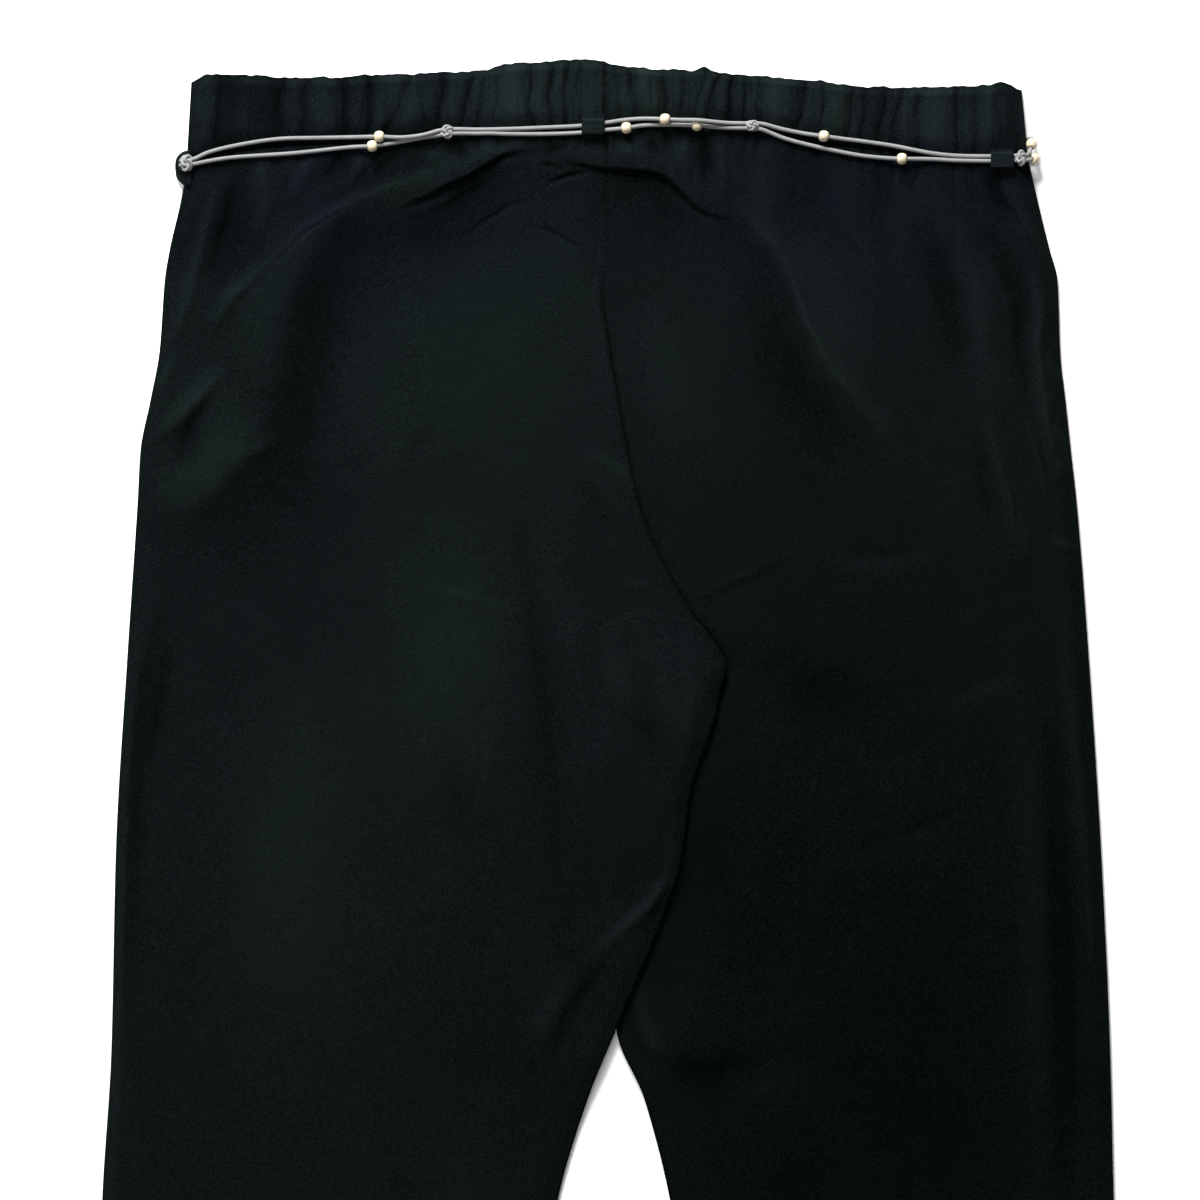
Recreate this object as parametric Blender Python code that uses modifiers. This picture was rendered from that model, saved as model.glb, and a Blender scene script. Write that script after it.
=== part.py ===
"""Drawstring trousers laid flat on their front, with the back side up.

The garment lies on a flat surface at Z = 0, with its waist towards +Y and the
wearer's left side towards -X. Its pieces are closed cloth walls that lie on each
other: two fronts, two backs, a gathered waistband of two halves, three belt loops,
and a double cord with knots and turned beads that runs all the way round.
Tables give places in millimetres: x to the right of the centre back seam, and
down from the top of the waist.
"""

import math
from collections import namedtuple

import bmesh
import bpy
from mathutils import Vector

# Driving sizes, in millimetres
MM = 0.001
LENGTH = 1000.0
WALL = 1.2
GAP = 0.3
SEAM_HALF_GAP = 0.16
CORD = 2.2
BEAD = 5.6
BEAD_LENGTH = 4.4
BEAD_BORE = 3.2
KNOT_LENGTH = 6.8
KNOT_WIDTH = 7.0
KNOT_FLATNESS = 0.7
LOOP_WALL = 1.0
SHARP_ANGLE = math.radians(40)

# How the two layers lie over each other, in millimetres
CHANNEL = GAP + CORD + GAP
KNOT_CHANNEL = 5.3
BAND_AIR = 2.5
HIP_AIR = 1.9
HEM_AIR = 1.2
LEAST_AIR = 0.5
RIM = 9.0
LEG_OVERLAP_LIFT = 2 * (WALL + GAP)
FORK_DOWN = 333.0
HEM_LEAN = 0.085

# Where a form rises from 0 to 1, and over how long a way
Rise = namedtuple("Rise", "start length")
CHANNEL_HALF_WIDTH = 4.6
CHANNEL_HALF_WIDTH_AT_SIDE = 14.1
CHANNEL_WIDENS = Rise(198, 20)
CHANNEL_FADES = 8
KNOT_ROOM_FADES = Rise(7, 8)
OVERLAP_STARTS = Rise(296, 46)
OVERLAP_ENDS = 592
OVERLAP_INSIDE = Rise(-78, 40)
PRESSED_STARTS = Rise(312, 30)
PRESSED_ENDS = Rise(578, 34)
PRESSED_INSIDE = Rise(18, 26)
AIR_SETTLES = Rise(250, 300)
FOLDS_BEGIN = Rise(6, 14)
LEG_EDGE_BEGINS = Rise(FORK_DOWN - 10, 26)
FOLD_REACH = 2.2
FOLD_STEEPNESS = 1.25
FOLD_TAPER = 0.22
LOBES_BEGIN = Rise(5, 7)
LOBE_ROUNDNESS = 0.8
TOP_ROLL = 0.45
TOP_ROLL_BEGINS = Rise(0.86, 0.14)
FRONT_FURROW = 0.5
FRONT_FURROW_WIDTH = 4.6
FRONT_FURROW_DRIFT = 17.0
FRONT_FURROWS_BEGIN = Rise(12, 8)
MIDDLE_X = 1.6
MIDDLE_DOWN = 504.1

Edge = namedtuple("Edge", "down left right")
OUTER_EDGES = (
    Edge(8, -229, 228),
    Edge(44, -230.5, 230),
    Edge(66, -232.5, 234.5),
    Edge(77, -234.5, 237),
    Edge(105, -241, 244),
    Edge(120, -243.5, 248),
    Edge(160, -246.5, 249.5),
    Edge(187, -251.5, 252.5),
    Edge(215, -257, 255.5),
    Edge(242, -258.5, 258.5),
    Edge(325, -264, 265),
    Edge(435, -270.5, 272),
    Edge(545, -273, 277),
    Edge(627, -278, 279),
    Edge(800, -283, 284.5),
    Edge(1020, -287.5, 291),
)

# The centre seam down to the fork, then the inner edge of each leg
INNER_EDGES = (
    Edge(30, 0, 0),
    Edge(105, -0.5, -0.5),
    Edge(128, -3, -3),
    Edge(146, -0.5, -0.5),
    Edge(187, 6, 6),
    Edge(242, 17, 17),
    Edge(261, 23.5, 23.5),
    Edge(302, 45, 45),
    Edge(321, 59.5, 59.5),
    Edge(333, 65.5, 65.5),
    Edge(350, 61.5, 61.5),
    Edge(363, 59, 58),
    Edge(400, 46.5, 35),
    Edge(440, 40.5, 21),
    Edge(484, 25.5, 12),
    Edge(506, 16, 8),
    Edge(531.5, 5.5, 5.5),
    Edge(572, -11, 21),
    Edge(627, -27.5, 35),
    Edge(800, -59, 63),
    Edge(1020, -88, 91),
)

Line = namedtuple("Line", "x down")
WAIST_TOP = (
    Line(-229, 12),
    Line(-218, 7.5),
    Line(-169, 9.5),
    Line(-120, 7.8),
    Line(-67, 5),
    Line(-60, 2.6),
    Line(-10, -0.4),
    Line(6, 2.6),
    Line(46, 5.4),
    Line(54, 3.4),
    Line(59, 6),
    Line(102, 10),
    Line(158, 14.8),
    Line(211, 13.2),
    Line(216, 11.8),
    Line(228, 16.5),
)
BAND_SEAM = (
    Line(-230, 54),
    Line(-180, 47.5),
    Line(-130, 44),
    Line(-88, 40),
    Line(-50, 39),
    Line(-10, 37.5),
    Line(20, 34.5),
    Line(60, 35.5),
    Line(90, 39),
    Line(120, 45),
    Line(160, 51),
    Line(195, 54),
    Line(234, 54),
)

# Each furrow between two gathers of the band: where it meets the seam and the top, and
# how high the lobe to its right stands
Furrow = namedtuple("Furrow", "at_seam at_top lobe")
FURROWS = (
    Furrow(-214, -213, 1.9),
    Furrow(-181, -179, 1.5),
    Furrow(-168, -165, 1.4),
    Furrow(-145, -143, 1.2),
    Furrow(-132, -130, 1.6),
    Furrow(-124, -106, 2.0),
    Furrow(-93, -89, 1.4),
    Furrow(-80, -74, 0.9),
    Furrow(-71, -67, 1.3),
    Furrow(-61, -60, 1.8),
    Furrow(-41, -42, 1.1),
    Furrow(-31, -30, 0.9),
    Furrow(-23, -21, 0.8),
    Furrow(-14.9, -14.9, 0.8),
    Furrow(0.6, 0.4, 0.7),
    Furrow(6, 5, 0.9),
    Furrow(15, 12, 1.6),
    Furrow(33, 31, 1.0),
    Furrow(41, 42, 0.9),
    Furrow(48, 54, 1.1),
    Furrow(55, 61, 1.3),
    Furrow(68, 69, 1.0),
    Furrow(76, 77, 0.9),
    Furrow(83, 84, 1.9),
    Furrow(103, 112, 1.2),
    Furrow(117, 120, 1.4),
    Furrow(133, 135, 0.8),
    Furrow(141, 142, 1.0),
    Furrow(150, 154, 0.8),
    Furrow(157, 162, 1.3),
    Furrow(171, 172, 1.8),
    Furrow(192, 194, 1.0),
    Furrow(202, 204, 1.3),
    Furrow(216, 216, 1.4),
)

SIDE_LOBE = Furrow(-236, -236, 1.2)
LAST_LOBE_ENDS = 238.0

# The largest folds of the back: a curve from start through middle to end, how wide the
# fold is on its upper or right side and on its lower or left side, and its height
Fold = namedtuple("Fold", "x0 down0 x1 down1 x2 down2 right_width left_width height")
FOLDS = (
    Fold(-124, 66, -84, 58, -38, 41, 26, 9, 3.2),
    Fold(-24, 46, 22, 54, 68, 80, 24, 9, 3.4),
    Fold(-146, 74, -182, 130, -188, 196, 14, 17, 2.8),
    Fold(-188, 196, -216, 232, -250, 254, 13, 15, 2.2),
    Fold(-136, 92, -171, 140, -180, 196, 12, 12, -1.4),
    Fold(-180, 196, -208, 246, -248, 270, 12, 12, -1.2),
    Fold(-213, 62, -222, 100, -240, 158, 8, 8, 1.8),
    Fold(-210, 172, -228, 190, -249, 208, 9, 9, 2.0),
    Fold(-198, 120, -210, 136, -218, 150, 8, 9, 1.2),
    Fold(68, 88, 106, 140, 150, 222, 15, 15, -1.2),
    Fold(84, 88, 118, 150, 162, 226, 13, 15, 2.4),
    Fold(184, 72, 208, 130, 216, 196, 15, 15, 2.3),
    Fold(214, 196, 222, 240, 230, 268, 9, 9, 1.4),
    Fold(100, 56, 108, 84, 112, 110, 8, 8, 1.6),
    Fold(128, 60, 136, 88, 152, 118, 9, 8, 1.5),
    Fold(146, 62, 160, 92, 166, 124, 8, 9, 1.3),
    Fold(66, 54, 70, 70, 74, 86, 8, 8, 1.6),
    Fold(34, 44, 44, 62, 62, 84, 8, 7, 1.4),
    Fold(-190, 62, -196, 90, -204, 118, 8, 8, 1.4),
    Fold(-164, 60, -168, 78, -180, 100, 8, 8, 1.4),
    Fold(-112, 52, -122, 64, -134, 84, 8, 8, 1.2),
    Fold(218, 84, 236, 120, 250, 232, 8, 8, 1.7),
    Fold(126, 280, 160, 284, 188, 272, 12, 16, 1.3),
    Fold(112, 440, 164, 426, 218, 404, 12, 14, -0.9),
    Fold(240, 320, 250, 388, 254, 600, 9, 9, -0.9),
    Fold(-42, 258, -26, 320, -24, 442, 11, 11, -0.9),
    Fold(-12, 216, 4, 226, 18, 240, 10, 10, 0.9),
    Fold(39, 420, 34, 452, -4, 492, 10, 9, 1.5),
    Fold(0, 499, -14, 518, -26, 542, 9, 9, -0.9),
    Fold(16, 506, 22, 534, 34, 548, 9, 8, 1.2),
    Fold(-150, 330, -176, 440, -170, 560, 30, 26, 0.8),
    Fold(130, 560, 152, 700, 166, 850, 26, 26, 0.8),
    Fold(-140, 620, -160, 760, -176, 900, 24, 28, 0.8),
)

# The cord's two strands, from the knot under the front round the left side, across the
# back and round the right side to the same knot
Place = namedtuple("Place", "x down height")
UPPER_STRAND = (
    Place(-5.0, 35.0, 2.4),
    Place(-14, 35.9, 1.6),
    Place(-24, 36.6, 1.4),
    Place(-50, 37.7, 1.4),
    Place(-88, 38.7, 1.4),
    Place(-130, 42.7, 1.4),
    Place(-180, 46.2, 1.4),
    Place(-208, 50.2, 1.4),
    Place(-226, 54.2, 1.4),
    Place(-233, 55.2, 1.5),
    Place(-235.7, 55.4, 3.0),
    Place(-236.4, 55.4, 5.5),
    Place(-235.4, 55.4, 8.4),
    Place(-231, 55.4, 9.8),
    Place(-226.6, 54.3, 9.7),
    Place(-220, 51.2, 9.4),
    Place(-208, 47.9, 9.4),
    Place(-181.5, 43.6, 9.4),
    Place(-158, 42.9, 9.4),
    Place(-136, 42.5, 9.8),
    Place(-125.6, 42.3, 11.2),
    Place(-113, 42.8, 11.7),
    Place(-101, 41.4, 11.7),
    Place(-92, 38.9, 11.2),
    Place(-87.6, 38.3, 10.8),
    Place(-82, 38.2, 10.7),
    Place(-73, 38.3, 9.5),
    Place(-58, 38.1, 9.4),
    Place(-36, 37.3, 9.4),
    Place(-14, 36.2, 9.4),
    Place(0, 34.5, 9.4),
    Place(10, 33.0, 9.4),
    Place(21, 32.4, 10.2),
    Place(31.9, 32.9, 12.9),
    Place(40, 33.3, 13.4),
    Place(49.5, 33.5, 14.7),
    Place(58, 34.2, 12.6),
    Place(66, 34.8, 10.8),
    Place(75, 35.0, 10.8),
    Place(80, 35.0, 10.8),
    Place(85, 35.2, 10.7),
    Place(96, 38.0, 9.5),
    Place(109, 40.6, 9.7),
    Place(119.4, 42.1, 11.1),
    Place(130, 43.5, 9.7),
    Place(139, 44.6, 9.4),
    Place(157, 47.2, 9.4),
    Place(177.7, 51.2, 9.4),
    Place(192, 52.7, 9.4),
    Place(212, 53.0, 9.4),
    Place(222, 52.8, 10.0),
    Place(227.7, 52.7, 10.6),
    Place(231.2, 52.4, 10.4),
    Place(232.6, 50.2, 9.2),
    Place(233.7, 46.5, 7.0),
    Place(234.6, 43.3, 4.8),
    Place(234.2, 42.4, 2.5),
    Place(231.6, 43.3, 1.4),
    Place(227, 45.8, 1.4),
    Place(218, 50.0, 1.4),
    Place(205, 52.6, 1.4),
    Place(192, 52.6, 1.4),
    Place(160, 49.7, 1.4),
    Place(120, 43.8, 1.4),
    Place(90, 37.8, 1.4),
    Place(60, 34.2, 1.4),
    Place(32, 33.2, 1.4),
    Place(14, 34.0, 1.6),
    Place(5.0, 35.0, 2.4),
)
LOWER_STRAND = (
    Place(-5.0, 37.7, 2.4),
    Place(-14, 38.6, 1.6),
    Place(-24, 39.1, 1.4),
    Place(-50, 40.3, 1.4),
    Place(-88, 41.3, 1.4),
    Place(-130, 45.3, 1.4),
    Place(-180, 48.8, 1.4),
    Place(-208, 52.9, 1.4),
    Place(-226, 57.0, 1.4),
    Place(-233, 57.9, 1.5),
    Place(-235.7, 57.9, 3.0),
    Place(-236.4, 57.9, 5.5),
    Place(-235.4, 57.9, 8.4),
    Place(-231, 57.9, 9.8),
    Place(-226.6, 57.2, 9.7),
    Place(-220, 55.8, 9.4),
    Place(-208, 53.9, 9.4),
    Place(-171, 51.2, 9.4),
    Place(-145, 48.4, 9.4),
    Place(-137, 47.8, 9.9),
    Place(-128.8, 47.5, 11.1),
    Place(-120, 46.2, 9.9),
    Place(-112, 44.8, 9.4),
    Place(-103, 43.1, 9.4),
    Place(-96, 42.0, 9.8),
    Place(-92, 41.4, 10.4),
    Place(-87.6, 41.0, 10.8),
    Place(-82, 40.9, 10.7),
    Place(-73, 40.9, 9.5),
    Place(-58, 40.7, 9.4),
    Place(-35, 40.8, 9.4),
    Place(-14, 40.0, 9.4),
    Place(0, 38.5, 9.5),
    Place(10.3, 37.6, 11.1),
    Place(20, 36.1, 9.6),
    Place(32, 35.7, 9.4),
    Place(41, 35.8, 9.7),
    Place(49.5, 36.1, 11.1),
    Place(58, 36.9, 9.8),
    Place(66, 37.4, 9.7),
    Place(75, 37.6, 10.6),
    Place(80, 37.6, 10.8),
    Place(85, 38.3, 10.6),
    Place(91, 40.6, 9.5),
    Place(98, 43.3, 9.4),
    Place(118, 48.4, 9.4),
    Place(139, 52.5, 9.4),
    Place(152, 53.9, 9.7),
    Place(162.2, 54.5, 11.1),
    Place(172, 54.5, 9.7),
    Place(181, 54.7, 9.4),
    Place(192, 55.3, 9.4),
    Place(212, 55.6, 9.4),
    Place(222, 55.4, 10.0),
    Place(227.7, 55.3, 10.6),
    Place(231.2, 55.0, 10.4),
    Place(233.2, 54.7, 9.6),
    Place(235.0, 54.2, 7.4),
    Place(236.5, 53.8, 5.0),
    Place(236.3, 53.9, 3.0),
    Place(234.0, 54.5, 1.5),
    Place(230, 55.0, 1.4),
    Place(218, 55.5, 1.4),
    Place(205, 55.3, 1.4),
    Place(192, 55.2, 1.4),
    Place(160, 52.3, 1.4),
    Place(120, 46.4, 1.4),
    Place(90, 40.4, 1.4),
    Place(60, 36.8, 1.4),
    Place(32, 35.9, 1.4),
    Place(14, 36.8, 1.6),
    Place(5.0, 37.7, 2.4),
)
POINT_SPACING = 3 * CORD
SIDE_SPACING = 1.4 * CORD
SIDE_TURN_FROM = 224.0

Knot = namedtuple("Knot", "name x down height")
KNOTS = (
    Knot("knot_left", -231.0, 56.7, 9.8),
    Knot("knot_back_left", -87.6, 39.6, 10.8),
    Knot("knot_back_right", 80.0, 36.3, 10.8),
    Knot("knot_right", 227.7, 54.0, 10.6),
    Knot("knot_front", 0.0, 36.35, 2.85),
)

# Each bead, threaded on a strand at the place nearest to this one
Bead = namedtuple("Bead", "name strand x down height")
BEADS = (
    Bead("bead_1", "upper", -125.6, 42.3, 11.2),
    Bead("bead_2", "lower", -128.8, 47.5, 11.1),
    Bead("bead_3", "lower", 10.3, 37.6, 11.1),
    Bead("bead_4", "upper", 31.9, 32.9, 12.9),
    Bead("bead_5", "lower", 49.5, 36.1, 11.1),
    Bead("bead_6", "upper", 119.4, 42.1, 11.1),
    Bead("bead_7", "lower", 162.2, 54.5, 11.1),
    Bead("bead_8", "upper", 233.7, 46.5, 7.0),
    Bead("bead_9", "lower", 235.0, 54.2, 7.4),
)

Finish = namedtuple("Finish", "colour roughness")
CLOTH = Finish((0.0070, 0.0102, 0.0106, 1.0), 0.62)
BRAID = Finish((0.36, 0.38, 0.39, 1.0), 0.55)
WOOD = Finish((0.62, 0.47, 0.29, 1.0), 0.5)


def ease(t):
    """0 below 0, 1 above 1 and a soft step between."""
    t = min(1.0, max(0.0, t))
    return t * t * (3.0 - 2.0 * t)


def risen(value, rise):
    return ease((value - rise.start) / rise.length)


def smooth_line(rows, key, value):
    """The table's value as a smooth function of its key, with no swing past a row."""
    keys = [getattr(row, key) for row in rows]
    values = [getattr(row, value) for row in rows]
    steps = [(values[i + 1] - values[i]) / (keys[i + 1] - keys[i]) for i in range(len(keys) - 1)]
    slopes = [steps[0]]
    for before, after in zip(steps, steps[1:]):
        slopes.append(0.0 if before * after <= 0 else 2 * before * after / (before + after))
    slopes.append(steps[-1])

    def at(place):
        i = 0
        while i < len(keys) - 2 and place > keys[i + 1]:
            i += 1
        width = keys[i + 1] - keys[i]
        t = min(1.0, max(0.0, (place - keys[i]) / width))
        from_start = (1 + 2 * t) * (1 - t) ** 2 * values[i] + t * t * (3 - 2 * t) * values[i + 1]
        return from_start + width * (t * (1 - t) ** 2 * slopes[i] - t * t * (1 - t) * slopes[i + 1])

    return at


left_edge = smooth_line(OUTER_EDGES, "down", "left")
right_edge = smooth_line(OUTER_EDGES, "down", "right")
left_leg_inner = smooth_line(INNER_EDGES, "down", "left")
right_leg_inner = smooth_line(INNER_EDGES, "down", "right")
waist_top = smooth_line(WAIST_TOP, "x", "down")
seam_curve = smooth_line(BAND_SEAM, "x", "down")
SEAM_STEP = 231.5 / 8


def band_seam(x):
    """The band's seam as short straight runs, one for each column of the fronts."""
    start = math.floor(x / SEAM_STEP)
    share = x / SEAM_STEP - start
    return (1 - share) * seam_curve(start * SEAM_STEP) + share * seam_curve((start + 1) * SEAM_STEP)


def channel(x, down):
    """How far the layers are lifted over the cord that runs under the front."""
    widening = (CHANNEL_HALF_WIDTH_AT_SIDE - CHANNEL_HALF_WIDTH) * risen(abs(x), CHANNEL_WIDENS)
    beside = abs(down - band_seam(x)) - CHANNEL_HALF_WIDTH - widening
    return 1 - ease(beside / CHANNEL_FADES)


def leg_overlap(x, down):
    """1 where the left leg lies on the right one, fading out on its own side."""
    along = risen(down, OVERLAP_STARTS) * ease((OVERLAP_ENDS - down) / OVERLAP_STARTS.length)
    return along * risen(x - right_leg_inner(down), OVERLAP_INSIDE)


def under_left_leg(x, down):
    """1 where the right leg lies pressed flat under the left one."""
    along = risen(down, PRESSED_STARTS) * ease((PRESSED_ENDS.start - down) / PRESSED_ENDS.length)
    return along * (1 - risen(x - left_leg_inner(down), PRESSED_INSIDE))


def fold_curve(fold, t):
    """A point of the fold's centre line, a parabola through its three places."""
    start, middle, end = (1 - t) * (1 - 2 * t), 4 * t * (1 - t), t * (2 * t - 1)
    return (
        start * fold.x0 + middle * fold.x1 + end * fold.x2,
        start * fold.down0 + middle * fold.down1 + end * fold.down2,
    )


FOLD_STEPS = 14
FOLD_LINES = [[fold_curve(fold, i / FOLD_STEPS) for i in range(FOLD_STEPS + 1)] for fold in FOLDS]


def folds_height(x, down):
    """The sum of all folds at a place, each a soft bump that fades towards its two ends."""
    total = 0.0
    for fold, line in zip(FOLDS, FOLD_LINES):
        reach = FOLD_REACH * max(fold.right_width, fold.left_width)
        best = None
        for i, (ax, ad) in enumerate(line[:-1]):
            bx, bd = line[i + 1]
            run_x, run_down = bx - ax, bd - ad
            t = ((x - ax) * run_x + (down - ad) * run_down) / (run_x**2 + run_down**2)
            t = min(1.0, max(0.0, t))
            off_x, off_down = x - ax - t * run_x, down - ad - t * run_down
            distance = math.hypot(off_x, off_down)
            if best is None or distance < best[0]:
                best = (distance, (i + t) / FOLD_STEPS, off_x * run_down - off_down * run_x)
        distance, along, side = best
        if distance > reach:
            continue
        width = fold.right_width if side > 0 else fold.left_width
        taper = ease(along / FOLD_TAPER) * ease((1 - along) / FOLD_TAPER)
        total += fold.height * taper * math.exp(-((FOLD_STEEPNESS * distance / width) ** 2))
    return total


def outer_rim(x, down):
    """0 on the garment's outline and 1 inside it, so that the edge lies folded flat."""
    return ease((x - left_edge(down)) / RIM) * ease((right_edge(down) - x) / RIM)


def back_air(x, down, side):
    """The air between the front and the back of the garment."""
    below = down - band_seam(x)
    resting = HIP_AIR + (HEM_AIR - HIP_AIR) * risen(down, AIR_SETTLES)
    inside = max(LEAST_AIR, resting + folds_height(x, down))
    air = BAND_AIR + (inside - BAND_AIR) * risen(below, FOLDS_BEGIN)
    leg = risen(down, LEG_EDGE_BEGINS)
    inner = left_leg_inner(down) - x if side == "left" else x - right_leg_inner(down)
    air *= outer_rim(x, down) * (1 - leg * (1 - ease(inner / RIM)))
    return air * (1 - under_left_leg(x, down)) if side == "right" else air


def layer_base(x, down, side):
    lift = leg_overlap(x, down) * LEG_OVERLAP_LIFT if side == "left" else 0.0
    return CHANNEL * channel(x, down) + lift


def front_bottom(x, down, side):
    knot_room = (KNOT_CHANNEL - CHANNEL) * (1 - risen(abs(x), KNOT_ROOM_FADES)) * channel(x, down)
    return layer_base(x, down, side) + knot_room


def back_bottom(x, down, side):
    return layer_base(x, down, side) + WALL + GAP + back_air(x, down, side)


def lobe_height(furrows, x, up_share):
    """How high the band's cloth stands between the two furrows on each side of x."""
    places = [f.at_seam + (f.at_top - f.at_seam) * up_share for f in furrows]
    lobes = [SIDE_LOBE.lobe] + [f.lobe for f in furrows]
    places = [SIDE_LOBE.at_seam] + places + [LAST_LOBE_ENDS]
    for i, lobe in enumerate(lobes):
        if places[i] <= x <= places[i + 1]:
            across = (x - places[i]) / (places[i + 1] - places[i])
            return lobe * (4 * across * (1 - across)) ** LOBE_ROUNDNESS
    return 0.0


def band_back_bottom(x, down, up_share):
    away = risen(band_seam(x) - down, LOBES_BEGIN)
    roll = 1 - TOP_ROLL * risen(up_share, TOP_ROLL_BEGINS)
    air = (BAND_AIR + lobe_height(FURROWS, x, up_share) * away) * roll
    return CHANNEL * channel(x, down) + WALL + GAP + air * outer_rim(x, down)


def band_front_bottom(x, down, _up_share):
    knot_room = (KNOT_CHANNEL - CHANNEL) * (1 - risen(abs(x), KNOT_ROOM_FADES))
    drift = LOBE_ROUNDNESS * math.sin(x / FRONT_FURROW_DRIFT)
    furrow = FRONT_FURROW * max(0.0, math.sin(x / FRONT_FURROW_WIDTH + drift))
    away = risen(band_seam(x) - down, FRONT_FURROWS_BEGIN)
    away *= ease((down - waist_top(x)) / FRONT_FURROWS_BEGIN.length)
    return (CHANNEL + knot_room) * channel(x, down) + furrow * away * outer_rim(x, down)


def world(x, down, height):
    """A place of the laid garment, in metres, with the origin under its middle."""
    return Vector(((x - MIDDLE_X) * MM, (MIDDLE_DOWN - down) * MM, height * MM))


def material(name, finish):
    made = bpy.data.materials.new(name)
    made.use_nodes = True
    shader = made.node_tree.nodes["Principled BSDF"]
    shader.inputs["Base Color"].default_value = finish.colour
    shader.inputs["Roughness"].default_value = finish.roughness
    made.diffuse_color = finish.colour
    return made


def add_object(name, data, finish):
    obj = bpy.data.objects.new(name, data)
    collection.objects.link(obj)
    data.materials.append(material(name, finish))
    return obj


def cloth_wall(name, rows, wall=WALL):
    """A closed wall over rows of places, each raised by the wall's thickness."""
    columns = len(rows[0])
    cloth = bmesh.new()
    bmesh.ops.create_grid(cloth, x_segments=columns - 1, y_segments=len(rows) - 1, size=1.0)
    cloth.verts.ensure_lookup_table()
    ordered = sorted(cloth.verts, key=lambda v: (-round(v.co.y, 5), round(v.co.x, 5)))
    for vertex, place in zip(ordered, (place for row in rows for place in row)):
        vertex.co = world(*place)
    bmesh.ops.recalc_face_normals(cloth, faces=cloth.faces)
    if sum(face.normal.z for face in cloth.faces) > 0:
        bmesh.ops.reverse_faces(cloth, faces=cloth.faces)
    raised = bmesh.ops.extrude_face_region(cloth, geom=list(cloth.faces), use_keep_orig=True)
    for vertex in raised["geom"]:
        if isinstance(vertex, bmesh.types.BMVert):
            vertex.co.z += wall * MM
    bmesh.ops.recalc_face_normals(cloth, faces=cloth.faces)
    mesh = bpy.data.meshes.new(name)
    cloth.to_mesh(mesh)
    cloth.free()
    obj = add_object(name, mesh, CLOTH)
    mesh.shade_smooth()
    mesh.set_sharp_from_angle(angle=SHARP_ANGLE)
    return obj


# Rows of the panels: near the band they follow its seam, then they are spaced by these steps
SEAM_ROWS = (0, 5, 10, 15, 21, 28)
MEAN_SEAM_DOWN = 54.0
FIRST_SEAM_GUESS = 48.0
SEAM_TRIES = 4
SEAM_FOLLOWED = Rise(80, 60)
HEM_LEANS_FROM = Rise(600, 400)
RowStep = namedtuple("RowStep", "until step")
ROW_STEPS = (RowStep(300, 16.0), RowStep(420, 24.0), RowStep(600, 36.0), RowStep(1010, 80.0))
EVERY_ROW, EVERY_THIRD_ROW = 1, 3
BACK_COLUMNS, FRONT_COLUMNS = 17, 9
# Between these places the fronts keep every row of the backs, because the left leg steps up there
EVERY_ROW_FROM = 280.0
EVERY_ROW_UNTIL = 650.0


def panel_downs():
    """How far down each row of a panel lies where the band's seam is at its mean height."""
    downs = [SEAM_ROWS[-1] + MEAN_SEAM_DOWN]
    for until, step in ROW_STEPS:
        while downs[-1] + step <= until:
            downs.append(downs[-1] + step)
    downs[-1] = LENGTH
    return downs


def panel_rows(side, edge_left, edge_right, columns, bottom, every):
    """Rows of places of a panel, from the band's seam to the hem."""
    rows = []
    for step in SEAM_ROWS:
        row = []
        for i in range(columns):
            share = i / (columns - 1)
            down = FIRST_SEAM_GUESS + step
            for _ in range(SEAM_TRIES):
                x = edge_left(down) + share * (edge_right(down) - edge_left(down))
                down = band_seam(x) + SEAM_HALF_GAP + step
            row.append((x, down, bottom(x, down, side)))
        rows.append(row)
    downs = panel_downs()
    for i, down in enumerate(downs):
        stepped = EVERY_ROW_FROM < down < EVERY_ROW_UNTIL
        if i % every and not stepped and i < len(downs) - 1:
            continue
        row = []
        for column in range(columns):
            share = column / (columns - 1)
            x = edge_left(down) + share * (edge_right(down) - edge_left(down))
            follow = 1 - risen(down, SEAM_FOLLOWED)
            lean = (share - 0.5) * HEM_LEAN * (edge_right(down) - edge_left(down))
            lean *= risen(down, HEM_LEANS_FROM) * (1 if side == "left" else -1)
            place_down = down + follow * (band_seam(x) - MEAN_SEAM_DOWN) + lean
            row.append((x, place_down, bottom(x, place_down, side)))
        rows.append(row)
    return rows


def left_panel(bottom, columns, every):
    return panel_rows(
        "left", left_edge, lambda down: left_leg_inner(down) - SEAM_HALF_GAP, columns, bottom, every
    )


def right_panel(bottom, columns, every):
    return panel_rows(
        "right", lambda down: right_leg_inner(down) + SEAM_HALF_GAP, right_edge, columns, bottom, every
    )


# How far up the band each of its rows lies, and the band's two ends at its seam and its top
BAND_SHARES = (1.0, 0.86, 0.55, 0.3, 0.12, 0.0)
BandEnd = namedtuple("BandEnd", "at_seam at_top")
BAND_LEFT_END = BandEnd(-231.2, -229.0)
BAND_RIGHT_END = BandEnd(231.6, 228.4)
LOBE_SHARES = (0.0, 0.32, 0.68)
FRONT_BAND_COLUMNS = 48


def band_rows(furrow_columns, shares, bottom):
    """Rows of places of a half waistband, from its top to its seam."""
    rows = []
    for share in shares:
        row = []
        for at_seam, at_top in furrow_columns:
            x = at_seam + (at_top - at_seam) * share
            seam = band_seam(x) - SEAM_HALF_GAP
            down = seam + (waist_top(x) - seam) * share
            row.append((x, down, bottom(x, down, share)))
        rows.append(row)
    return rows


def back_band_columns():
    """A column on each furrow and two on the lobe beside it, between the band's two ends."""
    ends = [BAND_LEFT_END] + [BandEnd(f.at_seam, f.at_top) for f in FURROWS] + [BAND_RIGHT_END]
    columns = []
    for (seam_a, top_a), (seam_b, top_b) in zip(ends, ends[1:]):
        for share in LOBE_SHARES:
            columns.append((seam_a + share * (seam_b - seam_a), top_a + share * (top_b - top_a)))
    return columns + [ends[-1]]


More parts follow.
